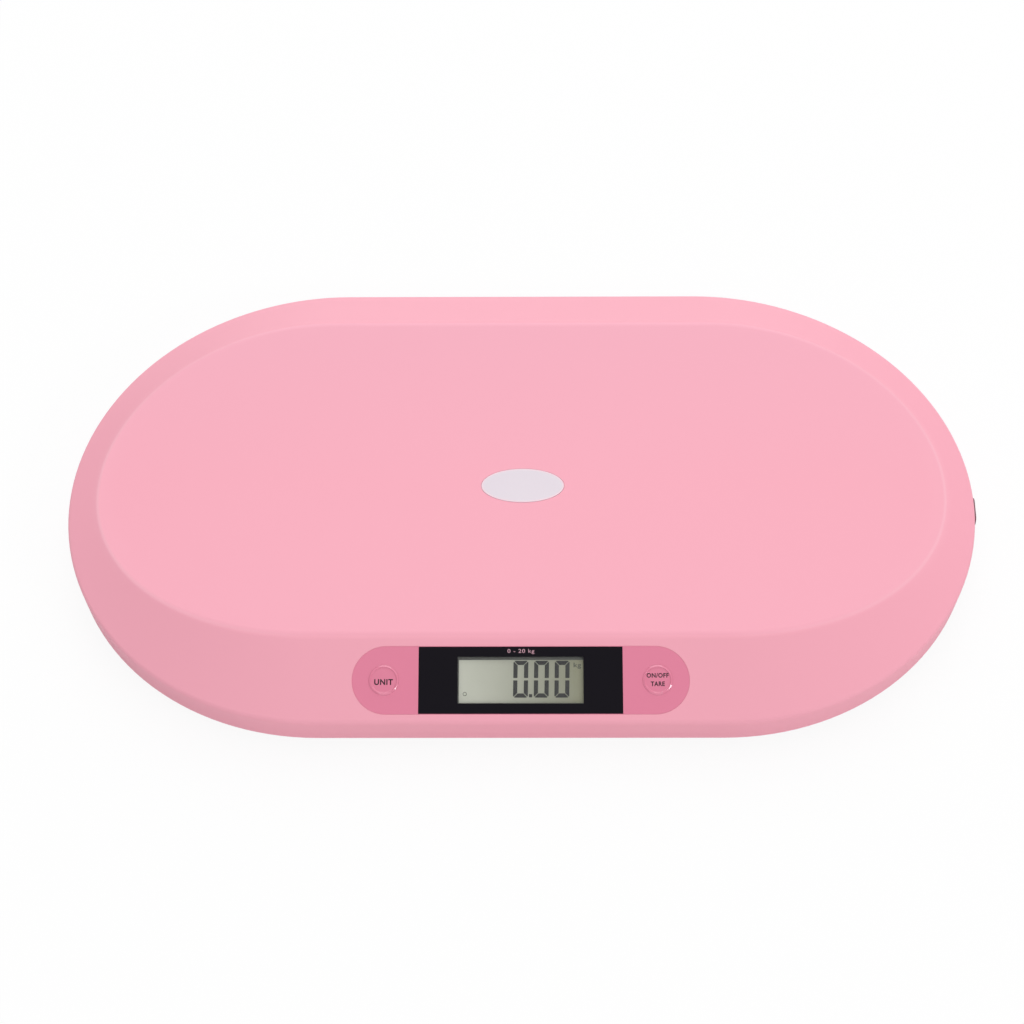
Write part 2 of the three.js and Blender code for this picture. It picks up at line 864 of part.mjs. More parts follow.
// Battery door on two stub pins, three cells and their contact plates
function addBattery() {
  const doorLength = bayLength - 2 * doorGap;
  const doorFree = bayY - bayWidth / 2 + doorGap;
  const plate = block(
    doorLength,
    barrelY - doorFree,
    baseBottom,
    doorTop,
    0,
    (barrelY + doorFree) / 2,
  );
  const barrel = rodAlongX(doorBarrelRadius, -doorLength / 2, doorLength / 2, barrelY, barrelZ);
  const pinReach = bayLength / 2 + bayWall - clearance;
  const pins = rodAlongX(doorPinRadius, -pinReach, pinReach, barrelY, barrelZ);
  piece("battery_door", join(plate, barrel, pins), pinkPlastic);

  const jacket = turned([
    [0, 0],
    [batteryRadius, 0],
    [batteryRadius, batteryLength],
    [batteryNubRadius, batteryLength],
    [batteryNubRadius, batteryLength + batteryNubHeight],
    [0, batteryLength + batteryNubHeight],
  ]);
  const cellSpan = batteryLength + batteryNubHeight;
  const rowY = (row) => bayY + (row - (cellCount - 1) / 2) * batteryPitch;
  for (let row = 0; row < cellCount; row++) {
    const way = row % 2 ? -1 : 1;
    const battery = piece("battery_" + (row + 1), jacket, cellJacket);
    battery.rotation.y = way * quarterTurn;
    battery.position.set((-way * cellSpan) / 2, rowY(row), batteryAxis);
  }
  for (const [place, way] of [
    ["left", -1],
    ["right", 1],
  ]) {
    const plateOuter = bayLength / 2 - clearance;
    const plateInner = plateOuter - contactThickness;
    const contactPlate = block(
      contactThickness,
      bayWidth - 2 * clearance,
      barrelZ + doorBarrelRadius + clearance,
      bayCeiling - clearance,
      (way * (plateOuter + plateInner)) / 2,
      bayY,
    );
    const bumpReach = plateInner - cellSpan / 2 - clearance;
    const bumpHeight = bumpReach + clearance;
    const bumpX = way * (plateInner - (bumpReach - clearance) / 2);
    const bumps = Array.from({ length: cellCount }, (_, row) =>
      solid(
        new THREE.CylinderGeometry(contactBumpTip, contactBumpRadius, bumpHeight, smallSegments)
          .rotateZ(way * quarterTurn)
          .translate(bumpX, rowY(row), batteryAxis),
      ),
    );
    piece("battery_contact_" + place, join(contactPlate, ...bumps), springSteel);
  }
}

// Tape case with its exit guide, spool, wound tape, return spring, straight lead and pull tab
function addTape() {
  const guideEnd = wallInner - 4 * clearance;
  const guideFloor = runAlongX(rollX, guideEnd, 2 * guideOuter, caseFloorBottom, tapeBottom - clearance);
  const guideSides = [1, -1].map((side) =>
    runAlongX(
      rollX + caseRadius / 2,
      guideEnd,
      guideWall,
      caseFloorBottom,
      tapeTop,
      tapeY + (side * (guideInner + guideOuter)) / 2,
    ),
  );
  const shell = cut(
    rod(caseRadius, caseFloorBottom, caseTop, rollX, rollY),
    rod(caseRadius - tapeCaseWall, caseFloorTop, caseTop + overrun, rollX, rollY),
  );
  const channel = runAlongX(
    rollX,
    guideEnd + overrun,
    2 * guideInner,
    tapeBottom - clearance,
    caseTop + overrun,
  );
  const spoolRoom = rod(caseRadius - tapeCaseWall, caseFloorTop, caseTop + overrun, rollX, rollY);
  const body = cut(join(shell, guideFloor, ...guideSides), spoolRoom, channel);
  const [axleBottom, axleTop] = [caseFloorTop - clearance, caseTop - clearance];
  const axle = rod(tapeAxleRadius, axleBottom, axleTop, rollX, rollY, smallSegments);
  piece("tape_case", join(body, axle), whitePlastic);
  piece(
    "tape_case_lid",
    rod(caseRadius, caseTop + clearance, caseTop + clearance + tapeCaseWall, rollX, rollY),
    whitePlastic,
  );

  const boreRadius = tapeAxleRadius + clearance;
  const drumRadius = tapeHubRadius - tapeHubWall;
  const lowerFlangeTop = spoolBottom + tapeFlange;
  const upperFlangeBottom = spoolTop - tapeFlange;
  const spool = turned(
    [
      [boreRadius, spoolBottom],
      [flangeReach, spoolBottom],
      [flangeReach, lowerFlangeTop],
      [tapeHubRadius, lowerFlangeTop],
      [tapeHubRadius, upperFlangeBottom],
      [flangeReach, upperFlangeBottom],
      [flangeReach, spoolTop - clearance],
      [drumRadius, spoolTop - clearance],
      [drumRadius, lowerFlangeTop],
      [boreRadius, lowerFlangeTop],
      [boreRadius, spoolBottom],
    ],
    rollX,
    rollY,
  );
  piece("tape_spool", spool, darkPlastic);
  const roll = cut(
    rod(rollRadius, tapeBottom, tapeTop, rollX, rollY),
    rod(rollInner, tapeBottom - overrun, tapeTop + overrun, rollX, rollY),
  );
  piece("tape_roll", roll, tapeWhite);

  // The return spring: one flat strip wound in a spiral inside the hub
  const innerReach = boreRadius + clearance;
  const outerReach = drumRadius - clearance - tapeSpringStrip;
  const stepsPerTurn = smallSegments;
  const stepCount = tapeSpringTurns * stepsPerTurn;
  const spiralPoint = (step, offset) => {
    const turn = (step / stepsPerTurn) * 2 * Math.PI;
    const reach = innerReach + ((outerReach - innerReach) * step) / stepCount + offset;
    return new THREE.Vector2(reach * Math.cos(turn), reach * Math.sin(turn));
  };
  const inside = Array.from({ length: stepCount + 1 }, (_, step) => spiralPoint(step, 0));
  const outside = Array.from({ length: stepCount + 1 }, (_, step) =>
    spiralPoint(stepCount - step, tapeSpringStrip),
  );
  const springStrip = slab(
    new THREE.Shape([...inside, ...outside]),
    lowerFlangeTop + clearance,
    spoolTop - 2 * clearance - tapeFlange,
  );
  piece("tape_return_spring", springStrip, springSteel).position.set(rollX, rollY, 0);

  piece(
    "tape_lead",
    runAlongX(rollX, tabInner - clearance, tapeThickness, tapeBottom, tapeTop),
    tapeWhite,
  );
  const tabFace = loft(shellSkin(-tabProud, shellBottom));
  piece("tape_tab", tabPlate(0, tabInner, tabOuter).intersect(tabFace), plumPlastic);
}

// Wires that lie on the base plate, from each load cell and the battery bay to the main board
function addLeads() {
  const layHeight = baseTop + leadLift + leadRadius;
  const cellEdge = cellSize / 2 + holderWall + 2 * clearance + leadRadius;
  const [reachX, reachY] = [boardLength / 2, bodyWidth / 2 - leadEndInset];
  const passing = (side, shares) =>
    shares.map(([along, forward], place) => [
      side * along * reachX,
      -forward * reachY,
      layHeight + (place === shares.length - 1 ? leadEndRise : 0),
    ]);
  const routes = {};
  for (const [place, side] of [
    ["left", -1],
    ["right", 1],
  ]) {
    const cellX = side * (footX - cellEdge);
    const outX = cellX - side * leadRun;
    routes["cell_lead_front_" + place] = [
      [cellX, -footY, layHeight],
      [outX, -footY - leadDrift, layHeight],
      ...passing(side, frontLeadShares),
    ];
    routes["cell_lead_back_" + place] = [
      [cellX, footY, layHeight],
      [outX, footY - leadDrift, layHeight],
      ...passing(side, backLeadShares),
    ];
  }
  const baySide = -bayLength / 2 - bayWall;
  routes.battery_lead = [
    [baySide - 2 * leadRadius, bayY, layHeight],
    [baySide - leadRun, bayY - bayWidth / 2, layHeight],
    ...passing(-1, batteryLeadShares),
  ];
  const section = new THREE.Shape(
    Array.from({ length: leadSides }, (_, side) => {
      const turn = (side / leadSides) * 2 * Math.PI;
      return new THREE.Vector2(leadRadius * Math.cos(turn), leadRadius * Math.sin(turn));
    }),
  );
  for (const [name, points] of Object.entries(routes)) {
    const path = new THREE.CatmullRomCurve3(points.map((point) => new THREE.Vector3(...point)));
    const wire = new THREE.ExtrudeGeometry(section, {
      steps: leadSteps,
      extrudePath: path,
      bevelEnabled: false,
    });
    piece(name, solid(wire), leadSleeve);
  }
}

addShells();
addBadge();
addControls();
addFeet();
addBattery();
addTape();
addLeads();

export default scale;
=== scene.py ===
# Looks of a digital baby weighing scale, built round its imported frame.
# Sizes are millimetres; they become metres when a mesh is made.
import math

import bmesh
import bpy
from mathutils import Matrix, Vector


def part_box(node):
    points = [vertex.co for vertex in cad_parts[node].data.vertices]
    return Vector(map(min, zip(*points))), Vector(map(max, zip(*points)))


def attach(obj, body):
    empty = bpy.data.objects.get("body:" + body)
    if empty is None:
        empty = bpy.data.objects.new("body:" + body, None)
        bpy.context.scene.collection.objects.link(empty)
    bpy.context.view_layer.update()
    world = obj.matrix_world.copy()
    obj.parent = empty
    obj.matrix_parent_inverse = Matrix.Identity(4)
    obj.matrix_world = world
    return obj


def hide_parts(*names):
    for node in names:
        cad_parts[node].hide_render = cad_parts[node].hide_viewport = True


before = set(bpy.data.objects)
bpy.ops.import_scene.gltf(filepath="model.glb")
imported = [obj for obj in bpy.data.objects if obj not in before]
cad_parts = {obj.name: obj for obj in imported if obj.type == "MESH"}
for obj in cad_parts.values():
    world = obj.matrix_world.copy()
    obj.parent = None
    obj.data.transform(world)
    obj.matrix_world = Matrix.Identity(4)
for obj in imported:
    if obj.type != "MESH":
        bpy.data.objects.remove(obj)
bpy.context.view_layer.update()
mm = 0.001
print("frame loaded:", len(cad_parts), "nodes")

# Driving sizes of the body; the tray is a shallow trough inside a sloping band.
# panelRun goes from the ridge up the slope to the panel's middle.
body = {
    "length": 549.8,
    "width": 329.8,
    "straight": 228,
    "bottom": 10,
    "ridge": 27.4,
    "draft": 1,
    "wall": 2.5,
    "panelRun": 24.0,
    "ridgeReach": 2.0,
    "trayLength": 512,
    "trayWidth": 240,
    "trayStraight": 239,
    "trayFloor": 35.8,
    "trayRise": 13,
    "trayInsets": (12, 18, 24, 30, 36, 42, 48, 54),
    "rimReach": 3.3,
    "endRimReach": 1.5,
    # width of the painted highlight line along the rim's ends
    "rimHighlightWidth": 1.1,
    "endSteps": 72,
    "straightSteps": 24,
    "cornerSteps": 8,
    "wallSteps": 4,
    "bandSteps": 6,
    "badgeSteps": 14,
    "underSteps": 6,
}
bandRise = body["trayFloor"] + body["trayRise"] - body["ridge"]
bandSlope = math.atan2(bandRise, (body["width"] - body["trayWidth"]) / 2)
bandY = -body["width"] / 2 + body["panelRun"] * math.cos(bandSlope)
bandZ = body["ridge"] + body["panelRun"] * math.sin(bandSlope)
bandMatrix = Matrix.Translation((0, bandY, bandZ)) @ Matrix.Rotation(bandSlope, 4, "X")


def trayHeight(y):
    return body["trayFloor"] + body["trayRise"] * (2 * y / body["trayWidth"]) ** 2


# Mesh helpers


def newObject(name, data):
    made = bpy.data.objects.new(name, data)
    bpy.context.scene.collection.objects.link(made)
    return made


def meshObject(name, points, faces):
    mesh = bpy.data.meshes.new(name)
    mesh.from_pydata([Vector(p) * mm for p in points], [], faces)
    mesh.update()
    return newObject(name, mesh)


def applyModifiers(made):
    # The evaluated shape becomes the mesh, and no modifier stays
    graph = bpy.context.evaluated_depsgraph_get()
    baked = bpy.data.meshes.new_from_object(made.evaluated_get(graph))
    made.modifiers.clear()
    made.data = baked
    baked.name = made.name
    return made


def modify(made, kind, **settings):
    step = made.modifiers.new(kind, kind)
    for name, value in settings.items():
        setattr(step, name, value)
    return applyModifiers(made)


def smooth(made, sharpDegrees=35):
    # Smooth shading that keeps flat faces flat and edges past the angle sharp
    made.data.shade_smooth()
    made.data.set_sharp_from_angle(angle=math.radians(sharpDegrees))
    return modify(made, "WEIGHTED_NORMAL", keep_sharp=True, weight=50)


def boolean(made, tool, operation="DIFFERENCE"):
    modify(made, "BOOLEAN", operation=operation, solver="EXACT", object=tool)
    bpy.data.objects.remove(tool)
    return made


def soften(made, width, segments=3, angle=30):
    limit = {"limit_method": "ANGLE", "angle_limit": math.radians(angle)}
    return modify(made, "BEVEL", width=width * mm, segments=segments, **limit)


def thicken(made, amount):
    return modify(made, "SOLIDIFY", thickness=amount * mm, offset=1)


def joined(name, parts):
    whole = bmesh.new()
    for part in parts:
        whole.from_mesh(part.data)
        bpy.data.objects.remove(part)
    mesh = bpy.data.meshes.new(name)
    whole.to_mesh(mesh)
    whole.free()
    return newObject(name, mesh)


def moved(made, matrix):
    # The mesh moves by a matrix in millimetres; the object stays at the origin
    inMetres = matrix.copy()
    inMetres.translation *= mm
    made.data.transform(inMetres)
    made.data.update()
    return made


def at(made, x=0, y=0, z=0):
    return moved(made, Matrix.Translation((x, y, z)))


def outwards(made):
    # Doubled points merge and every face looks outwards
    whole = bmesh.new()
    whole.from_mesh(made.data)
    bmesh.ops.remove_doubles(whole, verts=whole.verts, dist=1e-7)
    bmesh.ops.recalc_face_normals(whole, faces=whole.faces)
    whole.to_mesh(made.data)
    whole.free()
    return made


def markPoints(made, name, values):
    made.data.attributes.new(name, "FLOAT", "POINT").data.foreach_set("value", values)


def rectangle(length, depth, x=0, y=0):
    corners = ((-1, -1), (1, -1), (1, 1), (-1, 1))
    return [(x + across * length / 2, y + up * depth / 2) for across, up in corners]


def roundedRectangle(length, height, radius, x=0, y=0, steps=8):
    outline = []
    for corner, (across, up) in enumerate(((1, -1), (1, 1), (-1, 1), (-1, -1))):
        middleX = x + across * (length / 2 - radius)
        middleY = y + up * (height / 2 - radius)
        for i in range(steps + 1):
            turn = math.pi / 2 * (corner - 1 + i / steps)
            outline.append((middleX + radius * math.cos(turn), middleY + radius * math.sin(turn)))
    return outline


def pill(length, height, steps=32):
    radius = height / 2
    outline = []
    for side in (1, -1):
        for i in range(steps + 1):
            turn = math.pi * (i / steps - 0.5)
            x = length / 2 - radius + radius * math.cos(turn)
            outline.append((side * x, side * radius * math.sin(turn)))
    return outline


def prism(name, outline, bottom, top):
    # A flat outline drawn up from bottom to top
    count = len(outline)
    points = [(x, y, z) for z in (bottom, top) for x, y in outline]
    faces = [(i, (i + 1) % count, count + (i + 1) % count, count + i) for i in range(count)]
    faces += [tuple(reversed(range(count))), tuple(range(count, 2 * count))]
    return meshObject(name, points, faces)


def stitchRings(rings):
    # Points and faces of a closed skin through rings of equal count
    count = len(rings[0])
    last = (len(rings) - 1) * count
    faces = []
    for start in range(0, last, count):
        for i in range(count):
            j = (i + 1) % count
            faces.append((start + i, start + j, start + count + j, start + count + i))
    faces += [tuple(reversed(range(count))), tuple(range(last, last + count))]
    return [point for ring in rings for point in ring], faces


def spun(name, profile, segments=64):
    # A profile of (radius, height) pairs turned about Z, closed where it meets the axis
    points, rings = [], []
    for radius, height in profile:
        count = segments if radius else 1
        rings.append([len(points) + i for i in range(count)])
        for i in range(count):
            turn = 2 * math.pi * i / segments
            points.append((radius * math.cos(turn), radius * math.sin(turn), height))
    faces = []
    pairs = list(zip(rings, rings[1:]))
    if profile[0][0] and profile[-1][0]:
        pairs.append((rings[-1], rings[0]))
    for low, high in pairs:
        for i in range(segments):
            a, b = i % len(low), (i + 1) % len(low)
            c, d = (i + 1) % len(high), i % len(high)
            corners = tuple(dict.fromkeys((low[a], low[b], high[c], high[d])))
            if len(corners) > 2:
                faces.append(corners)
    return outwards(meshObject(name, points, faces))


def ball(name, radius, steps, segments):
    turns = [math.pi * i / steps for i in range(1, steps)]
    arc = [(radius * math.sin(turn), -radius * math.cos(turn)) for turn in turns]
    return spun(name, [(0, -radius), *arc, (0, radius)], segments)


# Node helpers, for materials and for Geometry Nodes
socketKinds = {int: "Int", float: "Float", tuple: "Color"}


def feed(tree, sockets, values):
    # Each input takes its value, or a link from every socket given
    for key, value in values.items():
        for part in value if isinstance(value, list) else [value]:
            if isinstance(part, bpy.types.NodeSocket):
                tree.links.new(part, sockets[key])
            else:
                sockets[key].default_value = part


def addNode(tree, kind, values=None, **settings):
    # A node with its settings and inputs; its outputs come back
    node = tree.nodes.new(kind)
    for name, value in settings.items():
        setattr(node, name, value)
    feed(tree, node.inputs, values or {})
    return node.outputs


def newTree(name, kind, inputs, outputs):
    # Each input is given by its default, or by its kind where it has none
    tree = bpy.data.node_groups.new(name, kind)
    for label, value in inputs.items():
        socketKind = "NodeSocket" + socketKinds.get(type(value), str(value))
        socket = tree.interface.new_socket(label, in_out="INPUT", socket_type=socketKind)
        if not isinstance(value, str):
            socket.default_value = value
    for label, value in outputs.items():
        tree.interface.new_socket(label, in_out="OUTPUT", socket_type="NodeSocket" + value)
    source, sink = tree.nodes.new("NodeGroupInput"), tree.nodes.new("NodeGroupOutput")
    return tree, source.outputs, sink.inputs


def noiseNode(tree, vector, scale, detail=2.0):
    values = {"Vector": vector, "Scale": scale, "Detail": detail}
    return addNode(tree, "ShaderNodeTexNoise", values)["Fac"]


def mathNode(tree, operation, *values):
    return addNode(tree, "ShaderNodeMath", dict(enumerate(values)), operation=operation)[0]


def vectorNode(tree, x=0, y=0, z=0):
    return addNode(tree, "ShaderNodeCombineXYZ", {"X": x, "Y": y, "Z": z})[0]


def mixColour(tree, factor, first, second):
    values = {0: factor, 6: first, 7: second}
    return addNode(tree, "ShaderNodeMix", values, data_type="RGBA")[2]


# Shader groups shared by the materials
surfaceOutputs = {"Colour": "Color", "Roughness": "Float", "Height": "Float"}


def buildMouldedGroup():
    # Slow drift of tone, a fine moulded grain and an uneven polish
    inputs = {
        "Vector": "Vector",
        "Colour": (1, 1, 1, 1),
        "Drift Colour": (1, 1, 1, 1),
        "Drift Scale": 8.0,
        "Grain Scale": 1800.0,
        "Roughness": 0.4,
        "Roughness Span": 0.06,
    }
    tree, source, sink = newTree("mouldedSurface", "ShaderNodeTree", inputs, surfaceOutputs)
    drift = noiseNode(tree, source["Vector"], source["Drift Scale"], 3.0)
    grain = noiseNode(tree, source["Vector"], source["Grain Scale"])
    patchScale = mathNode(tree, "MULTIPLY", source["Drift Scale"], 5.0)
    roughness = source["Roughness"]
    for wave in (noiseNode(tree, source["Vector"], patchScale), grain):
        centred = mathNode(tree, "SUBTRACT", wave, 0.5)
        uneven = mathNode(tree, "MULTIPLY", centred, source["Roughness Span"])
        roughness = mathNode(tree, "ADD", roughness, uneven)
    colour = mixColour(tree, drift, source["Colour"], source["Drift Colour"])
    feed(tree, sink, {"Colour": colour, "Roughness": roughness, "Height": grain})
    return tree


def buildRolledGroup():
    # Rolled metal: streaks along X and small darker spots
    inputs = {
        "Vector": "Vector",
        "Colour": (0.7, 0.7, 0.7, 1),
        "Dark Colour": (0.5, 0.5, 0.5, 1),
        "Streak Scale": 900.0,
        "Roughness": 0.3,
    }
    tree, source, sink = newTree("rolledMetal", "ShaderNodeTree", inputs, surfaceOutputs)
    stretch = {"Vector": source["Vector"], "Scale": (0.06, 1, 1)}
    stretched = addNode(tree, "ShaderNodeMapping", stretch)["Vector"]
    streak = noiseNode(tree, stretched, source["Streak Scale"], 3.0)
    spots = mathNode(tree, "SUBTRACT", noiseNode(tree, source["Vector"], 260.0, 4.0), 0.3)
    mask = mathNode(tree, "MULTIPLY", spots, 0.8)
    colour = mixColour(tree, mask, source["Colour"], source["Dark Colour"])
    uneven = mathNode(tree, "MULTIPLY", mathNode(tree, "SUBTRACT", streak, 0.5), 0.25)
    roughness = mathNode(tree, "ADD", source["Roughness"], uneven)
    feed(tree, sink, {"Colour": colour, "Roughness": roughness, "Height": streak})
    return tree


mouldedGroup = buildMouldedGroup()
rolledGroup = buildRolledGroup()
materials = {}


def linear(*levels):
    # An sRGB colour, 0 to 255, as the linear colour that a shader takes
    shares = [level / 255 for level in levels]
    bent = [s / 12.92 if s <= 0.04045 else ((s + 0.055) / 1.055) ** 2.4 for s in shares]
    return (*bent, 1.0)


def newMaterial(name):
    made = bpy.data.materials.new(name)
    made.use_nodes = True
    materials[name] = made
    tree = made.node_tree
    place = addNode(tree, "ShaderNodeTexCoord")["Object"]
    return tree, tree.nodes["Principled BSDF"].inputs, place


def bumpNode(tree, height, distance):
    values = {"Strength": 1.0, "Distance": distance * mm, "Height": height}
    return addNode(tree, "ShaderNodeBump", values)["Normal"]


# Colour, drift colour, drift scale, grain scale, grain depth, roughness, its span, specular
plasticLooks = {
    "pinkShell": ((254, 176, 194), (253, 174, 191), 5, 2600, 0.006, 0.46, 0.04, 0.35),
    "roseFilm": ((238, 136, 165), (236, 133, 162), 20, 5200, 0.002, 0.36, 0.06, 0.5),
    "buttonFilm": ((238, 136, 165), (236, 133, 162), 20, 5200, 0.0006, 0.12, 0.02, 0.8),
    "blackFilm": ((22, 19, 26), (19, 16, 23), 30, 6000, 0.001, 0.4, 0.06, 0.08),
    "badgeFilm": ((232, 222, 230), (229, 218, 228), 40, 4200, 0.003, 0.42, 0.06, 0.5),
    "badgeRim": ((245, 220, 229), (243, 217, 227), 40, 1800, 0.01, 0.3, 0.06, 0.5),
    "whiteMoulding": ((226, 223, 219), (220, 217, 212), 25, 1800, 0.015, 0.5, 0.06, 0.5),
    "darkMoulding": ((50, 50, 55), (44, 44, 49), 25, 1800, 0.015, 0.5, 0.06, 0.5),
    "footRubber": ((78, 78, 82), (69, 69, 73), 45, 1500, 0.05, 0.82, 0.12, 0.3),
    "plumGrip": ((118, 60, 74), (110, 54, 68), 60, 2600, 0.01, 0.42, 0.06, 0.5),
    "tapeCoat": ((242, 239, 228), (238, 234, 221), 60, 3200, 0.01, 0.48, 0.06, 0.5),
    "inkBlack": ((38, 34, 38), (44, 40, 44), 200, 1800, 0.01, 0.5, 0.06, 0.5),
    "legendInk": ((40, 8, 24), (46, 12, 28), 200, 1800, 0.01, 0.5, 0.06, 0.5),
    "windowInk": ((226, 176, 190), (220, 170, 184), 200, 1800, 0.01, 0.5, 0.06, 0.5),
    "segmentInk": ((20, 22, 20), (28, 30, 28), 150, 1800, 0.01, 0.5, 0.06, 0.2),
    # the display's border: its print darkened further as a painted shadow of the window's edge
    "borderInkAndShadow": ((94, 96, 90), (88, 90, 84), 150, 1800, 0.01, 0.5, 0.06, 0.2),
    "faintInk": ((82, 86, 73), (88, 92, 79), 150, 1800, 0.01, 0.5, 0.06, 0.2),
    "leadSleeve": ((214, 209, 203), (205, 200, 194), 90, 1800, 0.01, 0.5, 0.06, 0.5),
    "cellJacket": ((58, 64, 88), (52, 57, 80), 60, 1800, 0.01, 0.3, 0.06, 0.5),
}
# Painted light on the pink shell: the tray's back painted lighter and its front painted darker,
# and a painted highlight line along its rim
shellPaintedLight = {"back": (255, 181, 199), "front": (250, 172, 190), "rim": (255, 186, 201)}
# Colour, dark colour, roughness
metalLooks = {
    "platedSteel": ((196, 199, 203), (160, 163, 168), 0.32),
    "springStrip": ((182, 184, 190), (150, 152, 160), 0.26),
}
metalGrainDepth = 0.004


def tintShell(tree, colour):
    # The shell's own attributes say where its painted light, painted shade and painted highlight
    # lie
    labels = ("trayPaintedShadeAndLight", "rimHighlight")
    tone, rim = [addNode(tree, "ShaderNodeAttribute", attribute_name=x)["Fac"] for x in labels]
    # Painted light towards the back, painted shade towards the front, then the painted rim
    # highlight
    paintedLightToBack = mathNode(tree, "MAXIMUM", tone, 0.0)
    paintedShadeToFront = mathNode(tree, "MULTIPLY", mathNode(tree, "MINIMUM", tone, 0.0), -1.0)
    for name, share in (("back", paintedLightToBack), ("front", paintedShadeToFront), ("rim", rim)):
        colour = mixColour(tree, share, colour, linear(*shellPaintedLight[name]))
    return colour


def makePlastic(name, look):
    colour, drift, driftScale, grainScale, grainDepth, roughness, span, specular = look
    tree, shader, place = newMaterial(name)
    values = {
        "Vector": place,
        "Colour": linear(*colour),
        "Drift Colour": linear(*drift),
        "Drift Scale": driftScale,
        "Grain Scale": grainScale,
        "Roughness": roughness,
        "Roughness Span": span,
    }
    surface = addNode(tree, "ShaderNodeGroup", values, node_tree=mouldedGroup)
    base = surface["Colour"]
    inputs = {
        "Base Color": tintShell(tree, base) if name == "pinkShell" else base,
        "Roughness": surface["Roughness"],
        "Specular IOR Level": specular,
        "Normal": bumpNode(tree, surface["Height"], grainDepth),
    }
    feed(tree, shader, inputs)


def makeMetal(name, look):
    colour, dark, roughness = look
    tree, shader, place = newMaterial(name)
    values = {
        "Vector": place,
        "Colour": linear(*colour),
        "Dark Colour": linear(*dark),
        "Roughness": roughness,
    }
    surface = addNode(tree, "ShaderNodeGroup", values, node_tree=rolledGroup)
    inputs = {
        "Base Color": surface["Colour"],
        "Roughness": surface["Roughness"],
        "Metallic": 1.0,
        "Normal": bumpNode(tree, surface["Height"], metalGrainDepth),
    }
    feed(tree, shader, inputs)


# The display's glass: stops of its tone from left to right
displayLook = {
    "stops": (
        (0.0, (211, 213, 199)),
        (0.45, (184, 186, 170)),
        (0.8, (158, 159, 138)),
        (1.0, (149, 149, 120)),
    ),
    "stopsPerMetre": 14.0,
    "cloudScale": 45.0,
    "cloudShare": 0.16,
    "grainScale": 5200.0,
    "grainDepth": 0.001,
    "roughness": 0.35,
    "roughnessSpan": 0.1,
    "specular": 0.3,
}


def makeDisplay():
    tree, shader, place = newMaterial("displayGlass")
    x = addNode(tree, "ShaderNodeSeparateXYZ", {"Vector": place})["X"]
    along = mathNode(tree, "MULTIPLY_ADD", x, displayLook["stopsPerMetre"], 0.5)
    cloud = noiseNode(tree, place, displayLook["cloudScale"], 3.0)
    drift = mathNode(tree, "SUBTRACT", cloud, 0.5)
    factor = mathNode(tree, "MULTIPLY_ADD", drift, displayLook["cloudShare"], along)
    ramp = tree.nodes.new("ShaderNodeValToRGB")
    feed(tree, ramp.inputs, {"Fac": factor})
    stops = ramp.color_ramp.elements
    for index, (position, colour) in enumerate(displayLook["stops"]):
        stop = stops[index] if index < 2 else stops.new(position)
        stop.position = position
        stop.color = linear(*colour)
    grain = noiseNode(tree, place, displayLook["grainScale"], 1.0)
    polish = (grain, displayLook["roughnessSpan"], displayLook["roughness"])
    inputs = {
        "Base Color": ramp.outputs["Color"],
        "Roughness": mathNode(tree, "MULTIPLY_ADD", *polish),
        "Specular IOR Level": displayLook["specular"],
        "Normal": bumpNode(tree, grain, displayLook["grainDepth"]),
    }
    feed(tree, shader, inputs)


def makeBoard():
    # Green solder mask with lighter copper tracks under it
    tree, shader, place = newMaterial("solderMask")
    values = {
        "Vector": place,
        "Scale": 160,
        "Mortar Size": 0.012,
        "Color1": linear(30, 104, 62),
        "Color2": linear(27, 96, 57),
        "Mortar": linear(66, 140, 92),
    }
    brick = addNode(tree, "ShaderNodeTexBrick", values)
    inputs = {
        "Base Color": brick["Color"],
        "Roughness": mathNode(tree, "MULTIPLY_ADD", brick["Fac"], 0.15, 0.35),
        "Normal": bumpNode(tree, brick["Fac"], 0.02),
    }
    feed(tree, shader, inputs)


def makeLens():
    # Clear flat acrylic over the display: it shows by its gloss, and a thin white cover, thicker
    # at a low angle, is a painted reflection
    tree, shader, place = newMaterial("clearAcrylic")
    paintedReflectionShare = addNode(tree, "ShaderNodeLayerWeight", {"Blend": 0.25})["Facing"]
    inputs = {
        "Base Color": (1, 1, 1, 1),
        "Roughness": mathNode(tree, "MULTIPLY", noiseNode(tree, place, 90.0), 0.08),
        "Alpha": mathNode(tree, "MULTIPLY_ADD", paintedReflectionShare, 0.5, 0.03),
    }
    feed(tree, shader, inputs)


for name, look in plasticLooks.items():
    makePlastic(name, look)
for name, look in metalLooks.items():
    makeMetal(name, look)
makeDisplay()
makeBoard()
makeLens()
print("materials made:", len(materials))


def dress(made, material, bodyName, slotName, *nodes):
    # A piece takes its material, its body and the CAD nodes that it stands for; its slot name is
    # not used
    made.data.materials.clear()
    made.data.materials.append(materials[material])
    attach(made, bodyName)
    if nodes:
        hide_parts(*nodes)
    return made


# Geometry Nodes helpers


def newShapeTree(name, inputs):
    # Named inputs, whose lengths are millimetres
    scaled = {k: v if isinstance(v, int) else v * mm for k, v in inputs.items()}
    shape = {"Geometry": "Geometry"}
    return newTree(name, "GeometryNodeTree", {**shape, **scaled}, shape)


def finishTree(tree, sink, geometry, material):
    # Every tree ends in Realize Instances and Set Material
    real = addNode(tree, "GeometryNodeRealizeInstances", {0: geometry})[0]
    paint = {"Geometry": real, "Material": materials[material]}
    feed(tree, sink, {"Geometry": addNode(tree, "GeometryNodeSetMaterial", paint)["Geometry"]})
    return tree


def instanceNode(tree, points, shape, **values):
    values = {"Points": points, "Instance": shape, **values}
    return addNode(tree, "GeometryNodeInstanceOnPoints", values)["Instances"]


